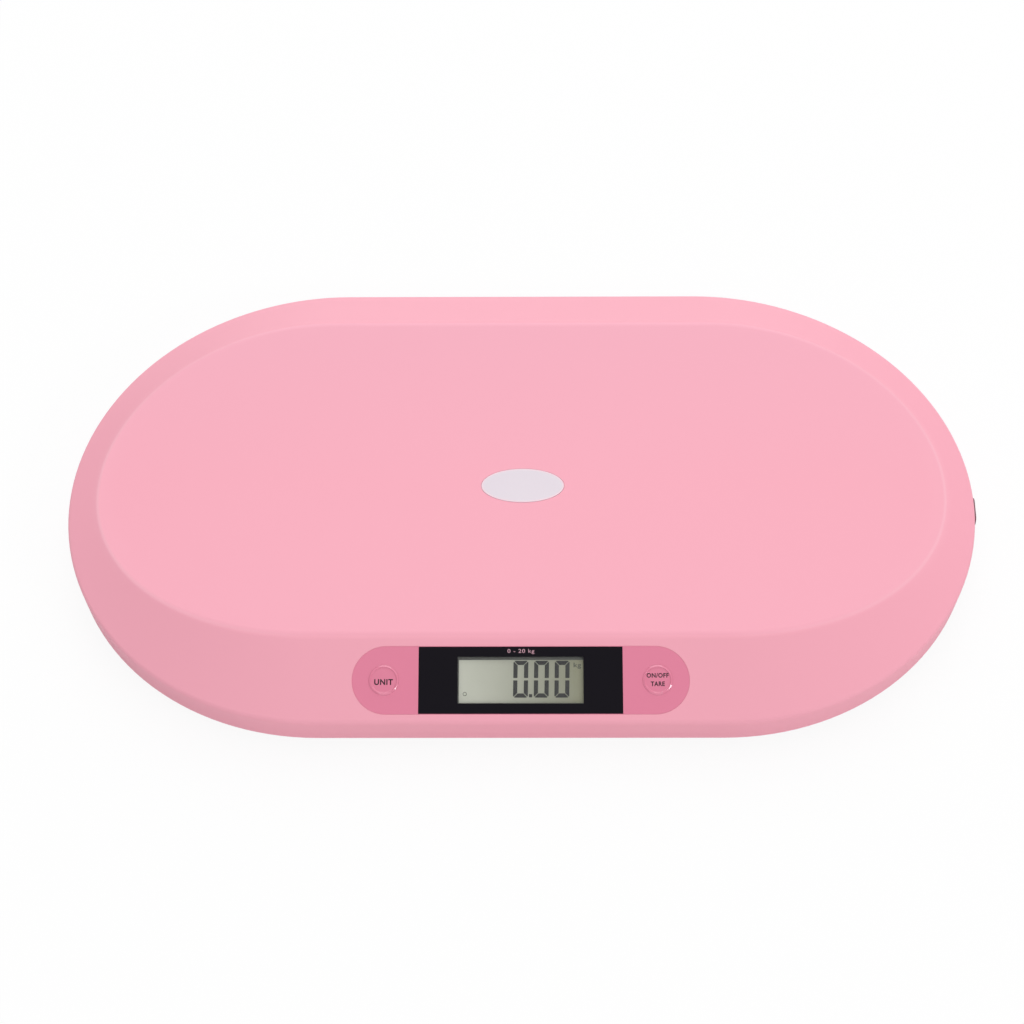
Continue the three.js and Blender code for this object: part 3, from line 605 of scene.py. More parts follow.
def runTree(made, tree, values):
    # Named values in millimetres, set by their inputs' identifiers; the plain mesh is kept
    step = made.modifiers.new(tree.name, "NODES")
    step.node_group = tree
    for item in tree.interface.items_tree:
        if item.in_out == "INPUT" and item.name in values:
            value = values[item.name]
            whole = item.socket_type == "NodeSocketInt"
            step[item.identifier] = value if whole else value * mm
    return applyModifiers(made)


# Body: rings round the stadium outline, from the bottom edge up and in to the badge's seat


def ovalRing(length, width, straight, heightAt):
    ring = []
    for side in (1, -1):
        for i in range(body["endSteps"] + 1):
            turn = math.pi * (i / body["endSteps"] - 0.5)
            x = side * (straight / 2 + (length - straight) / 2 * math.cos(turn))
            y = side * width / 2 * math.sin(turn)
            ring.append(Vector((x, y, heightAt(y))))
        for i in range(1, body["straightSteps"]):
            x = side * straight * (0.5 - i / body["straightSteps"])
            ring.append(Vector((x, side * width / 2, heightAt(width / 2))))
    return ring


def bodyRing(inset, heightAt):
    length, width = body["length"] - 2 * inset, body["width"] - 2 * inset
    return ovalRing(length, width, body["straight"], heightAt)


def trayRing(inset, heightAt):
    length, width = body["trayLength"] - 2 * inset, body["trayWidth"] - 2 * inset
    return ovalRing(length, width, body["trayStraight"], heightAt)


def roundedCorner(before, corner, after, reachAt):
    rings = []
    for step in range(body["cornerSteps"] + 1):
        t = step / body["cornerSteps"]
        ring = []
        for start, middle, end in zip(before, corner, after):
            entry = middle + (start - middle).normalized() * reachAt(middle)
            leave = middle + (end - middle).normalized() * reachAt(middle)
            ring.append(entry.lerp(middle, t).lerp(middle.lerp(leave, t), t))
        rings.append(ring)
    return rings


def rimReach(point):
    # The tray's rim is crisp at the two ends and softer along the front and back
    share = min(1, abs(2 * point.y / body["trayWidth"])) ** 3
    return body["endRimReach"] + (body["rimReach"] - body["endRimReach"]) * share


def betweenRings(first, last, steps):
    # Even rings from first to last, without the two themselves
    shares = [step / steps for step in range(1, steps)]
    return [[a.lerp(b, share) for a, b in zip(first, last)] for share in shares]


def skin(depth):
    # Foot, side wall, band and tray rings of the surface at a depth below the outside
    drop = depth / math.cos(bandSlope) - depth * math.tan(bandSlope)
    lower = lambda y: trayHeight(y) - depth
    foot = bodyRing(body["draft"] + depth, lambda y: body["bottom"])
    ridge = bodyRing(depth, lambda y: body["ridge"] - drop)
    rim = trayRing(0, lower)
    tray = [trayRing(inset, lower) for inset in body["trayInsets"]]
    ridgeRings = roundedCorner(foot, ridge, rim, lambda point: body["ridgeReach"])
    rimRings = roundedCorner(ridge, rim, tray[0], rimReach)
    wallRings = betweenRings(foot, ridgeRings[0], body["wallSteps"])
    bandRings = betweenRings(ridgeRings[-1], rimRings[0], body["bandSteps"])
    return [foot, *wallRings, *ridgeRings, *bandRings, *rimRings, *tray]


badge = {
    "length": 50,
    "width": 26,
    "x": 1.2,
    "y": -3.2,
    "rim": 1.0,
    "seatDepth": 0.6,
    "seatGap": 0.25,
    "lift": 0.1,
    "proud": 0.15,
    "edge": 0.12,
    "points": 128,
    "fieldInsets": (3, 6, 9, 11),
}


def badgeRing(growth, count, heightAt):
    # An ellipse round the badge that starts where the body's rings start
    ring = []
    for k in range(count):
        turn = 2 * math.pi * (k - body["endSteps"] / 2) / count
        x = badge["x"] + (badge["length"] / 2 + growth) * math.cos(turn)
        y = badge["y"] + (badge["width"] / 2 + growth) * math.sin(turn)
        ring.append(Vector((x, y, heightAt(y))))
    return ring


def buildShell():
    outer, inner = skin(0), skin(body["wall"])
    count = len(outer[0])
    seatEdge = badgeRing(badge["seatGap"], count, trayHeight)
    towardsBadge = betweenRings(outer[-1], seatEdge, body["badgeSteps"])
    for ring in towardsBadge:
        for point in ring:
            point.z = trayHeight(point.y)
    seatFloor = badgeRing(badge["seatGap"], count, lambda y: trayHeight(y) - badge["seatDepth"])
    innerMiddle = badgeRing(0, count, lambda y: trayHeight(y) - body["wall"])
    innerTray = betweenRings(inner[-1], innerMiddle, body["underSteps"])
    footEdge = betweenRings(inner[0], outer[0], 2)
    inside = reversed([*inner, *innerTray, innerMiddle])
    rings = [*inside, *footEdge, *outer, *towardsBadge, seatEdge, seatFloor]
    return outwards(meshObject("shellSkin", *stitchRings(rings)))


# Depths are measured from the band's face, and levels are a bottom and a top
panel = {
    "length": 188,
    "height": 38,
    "outlineSteps": 48,
    "gap": 0.03,
    "sunk": 0.06,
    "recess": 1.9,
    "recessEdge": 0.3,
    "recessSteps": 6,
    "thickness": 1.6,
    "window": 113.8,
    "windowHeight": 37.5,
    "windowThickness": 0.8,
    "windowGap": 0.03,
    "windowProud": 0.02,
    "viewLength": 70.2,
    "viewHeight": 26.2,
    "viewShift": 0.02,
    "viewMargin": 1.6,
    "lensMargin": 1.4,
    "lensLevels": (-1.55, -0.85),
    "borderMargin": 1,
    "borderLevels": (-1.945, -1.92),
    "borderLeft": 0.65,
    "borderRight": 0.1,
    "borderTop": 1.6,
    "borderBottom": 0.5,
    "borderCorner": 0.3,
    "lcdLength": 79.8,
    "lcdHeight": 34.7,
    "lcdGap": 0.1,
    "lcdLevels": (-4.6, -1.95),
    "buttonX": 76.3,
    "buttonRadius": 8.5,
    "buttonGap": 0.035,
    "wellRadius": 10,
    "wellLevels": (-8, -1),
}
tab = {
    "width": 21,
    "height": 9,
    "gap": 0.25,
    "y": -12.5,
    "z": 19.9,
    "proud": 1.4,
    "inner": 272.9,
    "edge": 0.5,
    "edgeSteps": 5,
    "faceInsets": (1.4, 2.4, 3.4, 4.2),
    "pocketInner": 272.5,
    "pocketOuter": 283,
    "slotLength": 16,
    "slotWidth": 1.7,
    "slotHeight": 8.2,
    "slotShift": 2,
    "ribCount": 7,
    "ribPitch": 2.2,
    "ribRadius": 0.33,
    "ribLength": 5.6,
}


def onBand(made, x=0, y=0, z=0):
    return moved(at(made, x, y, z), bandMatrix)


def plug(name, radius, low, high, segments):
    return spun(name, [(0, low), (radius, low), (radius, high), (0, high)], segments)


def tabOutline(growth):
    return pill(tab["width"] + 2 * growth, tab["height"] + 2 * growth)


def buildRecess():
    # The cutter of the panel's recess: its upper edge is rounded, and it ends above the face
    gap, edge, steps = panel["gap"], panel["recessEdge"], panel["recessSteps"]
    levels = [(gap, -panel["recess"]), (gap, -edge)]
    for i in range(1, steps + 1):
        turn = math.pi / 2 * i / steps
        levels.append((gap + edge * (1 - math.cos(turn)), -edge * (1 - math.sin(turn))))
    levels += [(gap + edge + 1, 0.05), (gap + edge + 1, 6)]
    rings = []
    for growth, z in levels:
        length, height = panel["length"] + 2 * growth, panel["height"] + 2 * growth
        ring = pill(length, height, panel["outlineSteps"])
        rings.append([Vector((x, y, z)) for x, y in ring])
    return meshObject("recess", *stitchRings(rings))


def cutShell(shell):
    boolean(shell, onBand(buildRecess()))
    low, high = panel["wellLevels"]
    opening = prism("opening", rectangle(panel["lcdLength"], panel["lcdHeight"]), low, high)
    boolean(shell, onBand(opening))
    for x in (-panel["buttonX"], panel["buttonX"]):
        boolean(shell, onBand(plug("hole", panel["wellRadius"], low, high, 48), x))
    # The tab's pocket is a pill on edge in the side wall, with a slot behind it for the tape
    pocket = prism("pocket", tabOutline(tab["gap"]), tab["pocketInner"], tab["pocketOuter"])
    onEdge = Matrix(((0, 0, 1, 0), (1, 0, 0, tab["y"]), (0, 1, 0, tab["z"]), (0, 0, 0, 1)))
    boolean(shell, moved(pocket, onEdge))
    outline, half = rectangle(tab["slotLength"], tab["slotWidth"]), tab["slotHeight"] / 2
    slot = prism("slot", outline, -half, half)
    boolean(shell, at(slot, tab["pocketInner"] - tab["slotShift"], tab["y"], tab["z"]))
    return shell


def markRim(shell):
    # One attribute says how near a point lies to the rim's crest at the two ends, for the painted
    # highlight line there.
    # The other says how far a point of the tray lies to the front (-1) or the back (1), for
    # painted shade to the front and painted light to the back.
    half, side = body["trayStraight"] / 2, body["trayWidth"] / 2
    endReach = (body["trayLength"] - body["trayStraight"]) / 2
    fade, skinDepth, slack = 0.7, 1, 0.1
    rimHighlights, trayLightAndShade = [], []
    for vertex in shell.data.vertices:
        x, y, z = vertex.co / mm
        beyond = max(0, abs(x) - half)
        turn = math.atan2(y / side, beyond / endReach)
        rimX, rimY = half + endReach * math.cos(turn), side * math.sin(turn)
        away = math.hypot(abs(x) - rimX, y - rimY)
        near = math.exp(-((away / body["rimHighlightWidth"]) ** 2))
        onTop = abs(z - trayHeight(y)) < skinDepth
        rimHighlights.append(near * math.cos(turn) ** fade if onTop else 0.0)
        within = abs(x) <= rimX + slack or math.hypot(beyond, y) <= endReach
        inTray = onTop and within and abs(y) <= abs(rimY) + slack
        trayLightAndShade.append(y / side if inTray else 0.0)
    markPoints(shell, "rimHighlight", rimHighlights)
    markPoints(shell, "trayPaintedShadeAndLight", trayLightAndShade)


shell = cutShell(buildShell())
smooth(shell, 32)
# The shell's points take the masks of its painted highlight and its painted shade and light
markRim(shell)
dress(shell, "pinkShell", "root", "pink_plastic", "top_shell")
print("shell made:", len(shell.data.polygons), "faces")


def buildBadge():
    # A thin film that follows the trough, with a paler rim round it
    count, edge, rim = badge["points"], badge["edge"], badge["rim"]
    under = lambda y: trayHeight(y) - badge["seatDepth"] + badge["lift"]
    rings = [badgeRing(0, count, under)]
    steps = [(0, edge), (edge * 0.4, edge * 0.25), (edge, 0), (rim, 0)]
    rimFaces = count * len(steps)
    steps += [(rim + inset, 0) for inset in badge["fieldInsets"]]
    for inset, drop in steps:
        rings.append(badgeRing(-inset, count, lambda y: trayHeight(y) + badge["proud"] - drop))
    film = outwards(meshObject("badgeFilm", *stitchRings(rings)))
    dress(smooth(film, 50), "badgeFilm", "root", "badge_plate", "badge_plate")
    film.data.materials.append(materials["badgeRim"])
    for face in film.data.polygons:
        face.material_index = int(face.index < rimFaces)


buildBadge()
print("badge made")

# Control panel, window, lens and display, drawn in the band's plane


def viewPrism(name, growth, low, high):
    # The display's opening, grown by a margin
    length, height = panel["viewLength"] + 2 * growth, panel["viewHeight"] + 2 * growth
    return prism(name, rectangle(length, height, 0, panel["viewShift"]), low, high)


def buildPanel():
    outline = pill(panel["length"], panel["height"], panel["outlineSteps"])
    base = prism("controlPanel", outline, -panel["thickness"], -panel["sunk"])
    gap = 2 * panel["windowGap"]
    seat = rectangle(panel["window"] + gap, panel["windowHeight"] + gap)
    boolean(base, prism("seat", seat, -panel["windowThickness"], 4))
    boolean(base, viewPrism("opening", panel["viewMargin"], -5, 0))
    for x in (-panel["buttonX"], panel["buttonX"]):
        hole = plug("hole", panel["buttonRadius"] + panel["buttonGap"], -5, 5, 96)
        boolean(base, at(hole, x))
    onBand(soften(base, 0.15, 3, 50))
    dress(smooth(base, 40), "roseFilm", "root", "rose_panel", "control_panel")


def buildWindow():
    proud = panel["windowProud"]
    outline = rectangle(panel["window"], panel["windowHeight"])
    low, high = -panel["windowThickness"] + proud, -panel["sunk"] + proud
    surround = prism("displayWindow", outline, low, high)
    boolean(surround, viewPrism("view", 0, -5, 5))
    onBand(soften(surround, 0.08, 2, 50))
    dress(smooth(surround, 40), "blackFilm", "root", "black_window", "display_window")

    lens = viewPrism("displayLens", panel["lensMargin"], *panel["lensLevels"])
    onBand(soften(lens, 0.05, 2))
    dress(smooth(lens), "clearAcrylic", "root", "clear_lens", "display_lens")

    gap = 2 * panel["lcdGap"]
    outline = rectangle(panel["lcdLength"] - gap, panel["lcdHeight"] - gap)
    glass = prism("displayGlass", outline, *panel["lcdLevels"])
    onBand(soften(glass, 0.1, 2))
    dress(smooth(glass), "displayGlass", "root", "display_glass", "lcd_glass")

    # The glass's printed border together with a painted shadow of the window's edge, wider at the
    # top and left where that shadow falls
    border = viewPrism("displayBorderAndShadow", panel["borderMargin"], *panel["borderLevels"])
    left, right = panel["borderLeft"], panel["borderRight"]
    top, bottom = panel["borderTop"], panel["borderBottom"]
    length, height = panel["viewLength"] - left - right, panel["viewHeight"] - top - bottom
    x, y = (left - right) / 2, panel["viewShift"] + (bottom - top) / 2
    clear = roundedRectangle(length, height, panel["borderCorner"], x, y)
    boolean(border, prism("clear", clear, -3, 0))
    dress(onBand(border), "borderInkAndShadow", "root", "display_glass")


buildPanel()
buildWindow()
print("panel and window made")

# Display segments: bars with mitred ends, whose place, kind and turn are carried by points
digits = {
    "width": 8.3,
    "height": 20.6,
    "stroke": 2.35,
    "cutBack": 0.224,
    "middleGap": 1.3,
    "corner": 0.3,
    "roundness": 1.1,
    "slant": 1.0,
    "middles": (0.05, 11.6, 23.1),
    "y": 0.75,
    "level": -1.945,
    "thickness": 0.03,
    "pointX": 5.7,
    "pointY": -8.5,
    "pointSize": 1.8,
    "pointCorner": 0.4,
    "ringX": -31.1,
    "ringY": -7.5,
    "ringRadius": 1.1,
    "ringStroke": 0.28,
}


def buildBarTree():
    # Kind 0 lies level; 1 and 2 stand, with their mitre at one end or the other
    inputs = {
        "Level Length": 8.0,
        "Upright Length": 9.0,
        "Stroke": 2.0,
        "Corner": 0.3,
        "Thickness": 0.03,
    }
    tree, source, sink = newShapeTree("displayBars", inputs)
    stroke, thickness = source["Stroke"], source["Thickness"]
    named, number = "GeometryNodeInputNamedAttribute", {"data_type": "FLOAT"}
    kind = addNode(tree, named, {"Name": "kind"}, **number)["Attribute"]
    turn = addNode(tree, named, {"Name": "turn"}, **number)["Attribute"]
    rotation = vectorNode(tree, 0, 0, turn)
    half = mathNode(tree, "MULTIPLY", stroke, 0.5)
    bars = []
    kinds = (("Level Length", 2, 0), ("Upright Length", 1, 1), ("Upright Length", 1, -1))
    for index, (lengthName, mitredEnds, lean) in enumerate(kinds):
        long, cutBack = source[lengthName], mathNode(tree, "MULTIPLY", stroke, mitredEnds)
        quad = {
            "Height": stroke,
            "Bottom Width": long,
            "Top Width": mathNode(tree, "SUBTRACT", long, cutBack),
            "Offset": mathNode(tree, "MULTIPLY", half, lean),
        }
        made = addNode(tree, "GeometryNodeCurvePrimitiveQuadrilateral", quad, mode="TRAPEZOID")
        fillet = {
            "Curve": made["Curve"],
            "Count": 4,
            "Radius": source["Corner"],
            "Limit Radius": True,
        }
        curve = {"Curve": addNode(tree, "GeometryNodeFilletCurve", fillet, mode="POLY")["Curve"]}
        under = {"Mesh": addNode(tree, "GeometryNodeFillCurve", curve, mode="NGONS")["Mesh"]}
        upper = {**under, "Offset Scale": thickness, "Individual": False}
        risen = addNode(tree, "GeometryNodeExtrudeMesh", upper)["Mesh"]
        flipped = addNode(tree, "GeometryNodeFlipFaces", under)["Mesh"]
        both = addNode(tree, "GeometryNodeJoinGeometry", {"Geometry": [risen, flipped]})[0]
        weld = {"Geometry": both, "Distance": 1e-6}
        bar = addNode(tree, "GeometryNodeMergeByDistance", weld)["Geometry"]
        test = {"A": kind, "B": index, "Epsilon": 0.1}
        equal = {"data_type": "FLOAT", "operation": "EQUAL"}
        chosen = {"Selection": addNode(tree, "FunctionNodeCompare", test, **equal)["Result"]}
        bars.append(instanceNode(tree, source["Geometry"], bar, Rotation=rotation, **chosen))
    whole = addNode(tree, "GeometryNodeJoinGeometry", {"Geometry": bars})[0]
    return finishTree(tree, sink, whole, "segmentInk")


def buildDigits():
    width, height, stroke = digits["width"], digits["height"], digits["stroke"]
    thick, shift = digits["thickness"], digits["y"]
    uprightLength = (height - digits["middleGap"]) / 2 - digits["cutBack"]
    sideX, endY = (width - stroke) / 2, (height - stroke) / 2
    sideY = (digits["middleGap"] + uprightLength) / 2
    quarter = math.pi / 2
    # x, y, kind and turn of a zero's six bars
    zero = (
        (0, -endY, 0, 0),
        (0, endY, 0, 2 * quarter),
        (-sideX, sideY, 1, -quarter),
        (sideX, -sideY, 1, quarter),
        (-sideX, -sideY, 2, -quarter),
        (sideX, sideY, 2, quarter),
    )
    bars = [(middle + bar[0], *bar[1:]) for middle in digits["middles"] for bar in zero]
    cloud = meshObject("displayDigits", [(x, y + shift, 0) for x, y, _, _ in bars], [])
    markPoints(cloud, "kind", [float(bar[2]) for bar in bars])
    markPoints(cloud, "turn", [float(bar[3]) for bar in bars])
    values = {
        "Level Length": width - 2 * digits["cutBack"],
        "Upright Length": uprightLength,
        "Stroke": stroke,
        "Corner": digits["corner"],
        "Thickness": thick,
    }
    runTree(cloud, buildBarTree(), values)
    blocks = []
    for middle in digits["middles"]:
        outline = roundedRectangle(width, height, digits["roundness"], middle, shift)
        blocks.append(prism("block", outline, -1, 1))
    boolean(cloud, joined("blocks", blocks), "INTERSECT")
    point = prism("point", rectangle(digits["pointSize"], digits["pointSize"]), 0, thick)
    at(soften(point, digits["pointCorner"], 4), digits["pointX"], digits["pointY"])
    inner, outer = digits["ringRadius"] - digits["ringStroke"], digits["ringRadius"]
    profile = [(inner, 0), (outer, 0), (outer, thick), (inner, thick)]
    ring = spun("displayRing", profile, 32)
    whole = joined("displayDigits", [cloud, point])
    lean = math.tan(math.radians(digits["slant"]))
    for vertex in whole.data.vertices:
        vertex.co.x += lean * (vertex.co.y - shift * mm)
    onBand(whole, 0, 0, digits["level"])
    dress(whole, "segmentInk", "root", "display_glass")
    onBand(ring, digits["ringX"], digits["ringY"], digits["level"])
    dress(ring, "faintInk", "root", "display_glass")


# Words, width, height, boldness and thickness of each print, with its place where it has one
lettering = {
    "kg": {"print": ("kg", 4.2, 3.4, 0.014), "x": 31.7, "y": 8.3},
    "capacity": {"print": ("0 - 20 kg", 15, 2.8, 0), "x": 0.2, "y": 16.0},
    "unit": {"print": ("UNIT", 10.4, 3.3, 0.032), "y": -1.0},
    "power": {"print": ("ON/OFF", 12.3, 2.6, 0.032), "y": 2.6},
    "tare": {"print": ("TARE", 7.8, 2.6, 0.032), "y": -2.1},
    "spacing": 1.12,
    "thickness": 0.02,
    "lift": 0.03,
}


def textMesh(name, words, width, height, bold):
    # Flat lettering made a mesh and fitted to a width and a height
    curve = bpy.data.curves.new(name, "FONT")
    curve.body = words
    curve.align_x = curve.align_y = "CENTER"
    curve.offset = bold
    curve.space_character = lettering["spacing"]
    holder = newObject(name, curve)
    graph = bpy.context.evaluated_depsgraph_get()
    mesh = bpy.data.meshes.new_from_object(holder.evaluated_get(graph))
    bpy.data.objects.remove(holder)
    xs = [v.co.x for v in mesh.vertices]
    ys = [v.co.y for v in mesh.vertices]
    middle = Vector(((max(xs) + min(xs)) / 2, (max(ys) + min(ys)) / 2, 0))
    across, up = width / (max(xs) - min(xs)), height / (max(ys) - min(ys))
    for vertex in mesh.vertices:
        x, y = (vertex.co.x - middle.x) * across, (vertex.co.y - middle.y) * up
        vertex.co = Vector((x, y, 0)) * mm
    return newObject(name, mesh)


def buildPrintedWords():
    onWindow = lettering["lift"] - panel["sunk"]
    prints = (
        ("displayUnit", "kg", digits["level"], "faintInk", "display_glass"),
        ("capacityLine", "capacity", onWindow, "windowInk", "black_window"),
    )
    for name, key, level, ink, slot in prints:
        entry = lettering[key]
        words = thicken(textMesh(name, *entry["print"]), lettering["thickness"])
        dress(onBand(words, entry["x"], entry["y"], level), ink, "root", slot)


buildDigits()
buildPrintedWords()
print("display made")

# Buttons: nearly flat caps inside a raised ring whose outer flank is broad and shallow
button = {
    "dome": 0.12,
    "ringHeight": 0.5,
    "ringInner": 6.9,
    "ringCrest": 7.5,
    "flankPower": 1.05,
    "flankSteps": 20,
    "fieldSteps": 12,
    "rimInset": 0.02,
    "sideTop": -0.06,
    "flange": 9.7,
    "stemRadius": 2.2,
    "stemEnd": -3.35,
    "flangeTop": -1.9,
    "flangeBottom": -2.8,
    "printLift": 0.015,
    "printThickness": 0.01,
}


def capHeight(radius):
    # Height of a cap's face above the panel: a flat field, a rise to the crest, then the flank
    inner, crest, outer = button["ringInner"], button["ringCrest"], panel["buttonRadius"]
    if radius <= inner:
        return button["dome"] * (1 - (radius / inner) ** 2)
    if radius <= crest:
        share = (radius - inner) / (crest - inner)
        return button["ringHeight"] * share * share * (3 - 2 * share)
    share = (radius - crest) / (outer - crest)
    return button["ringHeight"] * (1 - share ** button["flankPower"])


def buildButton(name, x, entries):
    radius, inner = panel["buttonRadius"], button["ringInner"]
    stem, flange = button["stemRadius"], button["flange"]
    low, high = button["flangeBottom"], button["flangeTop"]
    profile = [(0, button["stemEnd"]), (stem, button["stemEnd"]), (stem, low), (flange, low)]
    profile += [(flange, high), (radius, high), (radius, button["sideTop"])]
    rimEdge = radius - button["rimInset"]
    steps = button["flankSteps"]
    radii = [rimEdge - (rimEdge - inner) * i / steps for i in range(steps + 1)]
    steps = button["fieldSteps"]
    radii += [inner * (1 - i / steps) for i in range(1, steps + 1)]
    profile += [(r, capHeight(r)) for r in radii]
    cap = spun(name + "Cap", profile, 96)
    prints = []
    for key in entries:
        mark = textMesh(name + "Print", *lettering[key]["print"])
        for vertex in mark.data.vertices:
            px, py = vertex.co.x / mm, vertex.co.y / mm + lettering[key]["y"]
            height = capHeight(math.hypot(px, py)) + button["printLift"]
            vertex.co = Vector((px, py, height)) * mm
        prints.append(mark)
    legend = thicken(joined(name + "Legend", prints), button["printThickness"])
    for piece in (cap, legend):
        onBand(piece, x, 0, -panel["sunk"])
    dress(smooth(cap, 50), "buttonFilm", name, "rose_panel", name)
    dress(legend, "legendInk", name, "rose_panel")


buildButton("unit_button", -panel["buttonX"], ["unit"])
buildButton("power_tare_button", panel["buttonX"], ["power", "tare"])
print("buttons made")

# Ridges of the pull tab, the battery door and the tape's ticks


def buildRidgeTree():
    inputs = {"Count": 5, "Pitch": 1.8, "Length": 14.0, "Width": 0.8, "Height": 0.5}
    tree, source, sink = newShapeTree("fingerRidges", inputs)
    row = {"Count": source["Count"], "Offset": vectorNode(tree, 0, source["Pitch"])}
    line = addNode(tree, "GeometryNodeMeshLine", row, mode="OFFSET")["Mesh"]
    unitBar = {"Vertices": 16, "Radius": 0.5, "Depth": 1.0}
    bar = addNode(tree, "GeometryNodeMeshCylinder", unitBar)["Mesh"]
    lay = {"Geometry": bar, "Rotation": (0, math.pi / 2, 0)}
    laid = addNode(tree, "GeometryNodeTransform", lay)["Geometry"]
    size = vectorNode(tree, source["Length"], source["Width"], source["Height"])
    return finishTree(tree, sink, instanceNode(tree, line, laid, Scale=size), "pinkShell")


ridgeTree = buildRidgeTree()


def buildRidges(count, pitch, length, width, height):
    # Ridges along X, side by side about the origin
    labels = ("Count", "Pitch", "Length", "Width", "Height")
    values = dict(zip(labels, (count, pitch, length, width, height)))
    ridges = runTree(meshObject("ridges", [(0, 0, 0)], []), ridgeTree, values)
    return at(ridges, 0, -pitch * (count - 1) / 2)


# Pull tab at the right end: a grip whose face follows the side wall


def wallX(y, z):
    inset = body["draft"] * (body["ridge"] - z) / (body["ridge"] - body["bottom"])
    reach = (body["length"] - body["straight"]) / 2 - inset
    return body["straight"] / 2 + reach * math.sqrt(1 - (y / (body["width"] / 2 - inset)) ** 2)


def buildTab():
    def places(growth):
        return [(u + tab["y"], v + tab["z"]) for u, v in tabOutline(growth)]

    edge, steps = tab["edge"], tab["edgeSteps"]
    rings = [[Vector((tab["inner"], y, z)) for y, z in places(0)]]
    turns = [math.pi / 2 * i / steps for i in range(steps + 1)]
    levels = [(edge * (1 - math.cos(turn)), edge * (1 - math.sin(turn))) for turn in turns]
    levels += [(inset, 0) for inset in tab["faceInsets"]]
    for inset, depth in levels:
        around = places(-inset)
        rings.append([Vector((wallX(y, z) + tab["proud"] - depth, y, z)) for y, z in around])
    plate = outwards(meshObject("pullTab", *stitchRings(rings)))
    thick = 2 * tab["ribRadius"]
    ridges = buildRidges(tab["ribCount"], tab["ribPitch"], tab["ribLength"], thick, thick)
    at(moved(ridges, Matrix.Rotation(math.pi / 2, 4, "Y")), 0, tab["y"], tab["z"])
    for vertex in ridges.data.vertices:
        vertex.co.x += (wallX(vertex.co.y / mm, tab["z"]) + tab["proud"]) * mm
    whole = smooth(joined("pullTab", [plate, ridges]), 50)
    dress(whole, "plumGrip", "tape_pull", "plum_plastic", "tape_tab")


buildTab()
print("pull tab made")

# Plain ticks on both faces of the tape's straight lead; each kind has a pitch and a length
tape = {
    "y": -12.5,
    "thickness": 0.5,
    "lowEdge": 16.5,
    "start": 206,
    "run": 64,
    "tickWidth": 0.2,
    "tickHeight": 0.06,
    "ticks": ((1, 1.8), (5, 2.8), (10, 4.2)),
}


def buildTapeTicks():
    upright = Matrix(((0, 1, 0, 0), (0, 0, 1, 0), (1, 0, 0, 0), (0, 0, 0, 1)))
    rows = []
    for side in (-1, 1):
        for pitch, length in tape["ticks"]:
            count = tape["run"] // pitch + 1
            row = buildRidges(count, pitch, length, tape["tickWidth"], tape["tickHeight"])
            middle = tape["start"] + pitch * (count - 1) / 2
            y = tape["y"] + side * tape["thickness"] / 2
            rows.append(at(moved(row, upright), middle, y, tape["lowEdge"] + length / 2))
    dress(joined("tapeTicks", rows), "inkBlack", "tape_pull", "tape")


buildTapeTicks()
print("tape ticks made")

# Underside: base plate with foot wells, screw seats and the battery bay
base = {
    "bottom": 10.5,
    "thickness": 2.5,
    "edgeGap": 0.35,
    "rimHeight": 4,
    "rimWall": 2,
    "wellRadius": 21.5,
    "wellDepth": 1.1,
    "stemHole": 9.5,
    "bayLength": 51.3,
    "bayWidth": 34.2,
    "bayY": 6,
    "bayWall": 2,
    "bayCeiling": 23.8,
    "headSeat": 3.3,
    "seatTop": 12.4,
    "shankHole": 1.8,
    "notchRadius": 9,
    "notchDepth": 1.2,
    "cutLow": 4,
    "cutHigh": 20,
}
cornerNames = ("front_left", "front_right", "back_left", "back_right")


def boxMiddle(name):
    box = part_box(name)
    return (box[0] + box[1]) / 2 / mm


footPlaces = {place: boxMiddle("foot_pad_" + place) for place in cornerNames}
screwNodes = [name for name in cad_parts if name.startswith("case_screw_")]
screwPlaces = [boxMiddle(name) for name in screwNodes]


def steppedHole(name, wide, floor, narrow, segments):
    # A wide hole from below as far as its floor, and a narrow one from there on
    low, high = base["cutLow"], base["cutHigh"]
    profile = [(0, low), (wide, low), (wide, floor), (narrow, floor), (narrow, high), (0, high)]
    return spun(name, profile, segments)


def buildBase():
    inset = body["draft"] + body["wall"] + base["edgeGap"]
    bottom, top = base["bottom"], base["bottom"] + base["thickness"]
    brim, rimWall = top + base["rimHeight"], base["rimWall"]
    levels = [(0.6, bottom), (0.15, bottom + 0.15), (0, bottom + 0.6)]
    levels += [(0, brim), (rimWall, brim), (rimWall, top)]
    rings = [bodyRing(inset + extra, lambda y: z) for extra, z in levels]
    plate = outwards(meshObject("basePlate", *stitchRings(rings)))
    length, width, y = base["bayLength"], base["bayWidth"], base["bayY"]
    wall, ceiling = base["bayWall"], base["bayCeiling"]
    bay = rectangle(length + 2 * wall, width + 2 * wall, 0, y)
    boolean(plate, prism("bay", bay, bottom + 1, ceiling + wall), "UNION")
    boolean(plate, prism("hollow", rectangle(length, width, 0, y), base["cutLow"], ceiling))
    wells = []
    for place in footPlaces.values():
        floor = bottom + base["wellDepth"]
        well = steppedHole("well", base["wellRadius"], floor, base["stemHole"], 72)
        wells.append(at(well, place.x, place.y))
    for place in screwPlaces:
        seat = steppedHole("seat", base["headSeat"], base["seatTop"], base["shankHole"], 32)
        wells.append(at(seat, place.x, place.y))
    boolean(plate, joined("wells", wells))
    radius = base["notchRadius"]
    notch = ball("notch", radius, 12, 48)
    boolean(plate, at(notch, 0, y - width / 2, bottom + base["notchDepth"] - radius))
    soften(plate, 0.25, 2, 50)
    dress(smooth(plate, 40), "pinkShell", "root", "pink_plastic", "base_shell")


buildBase()
print("base made")

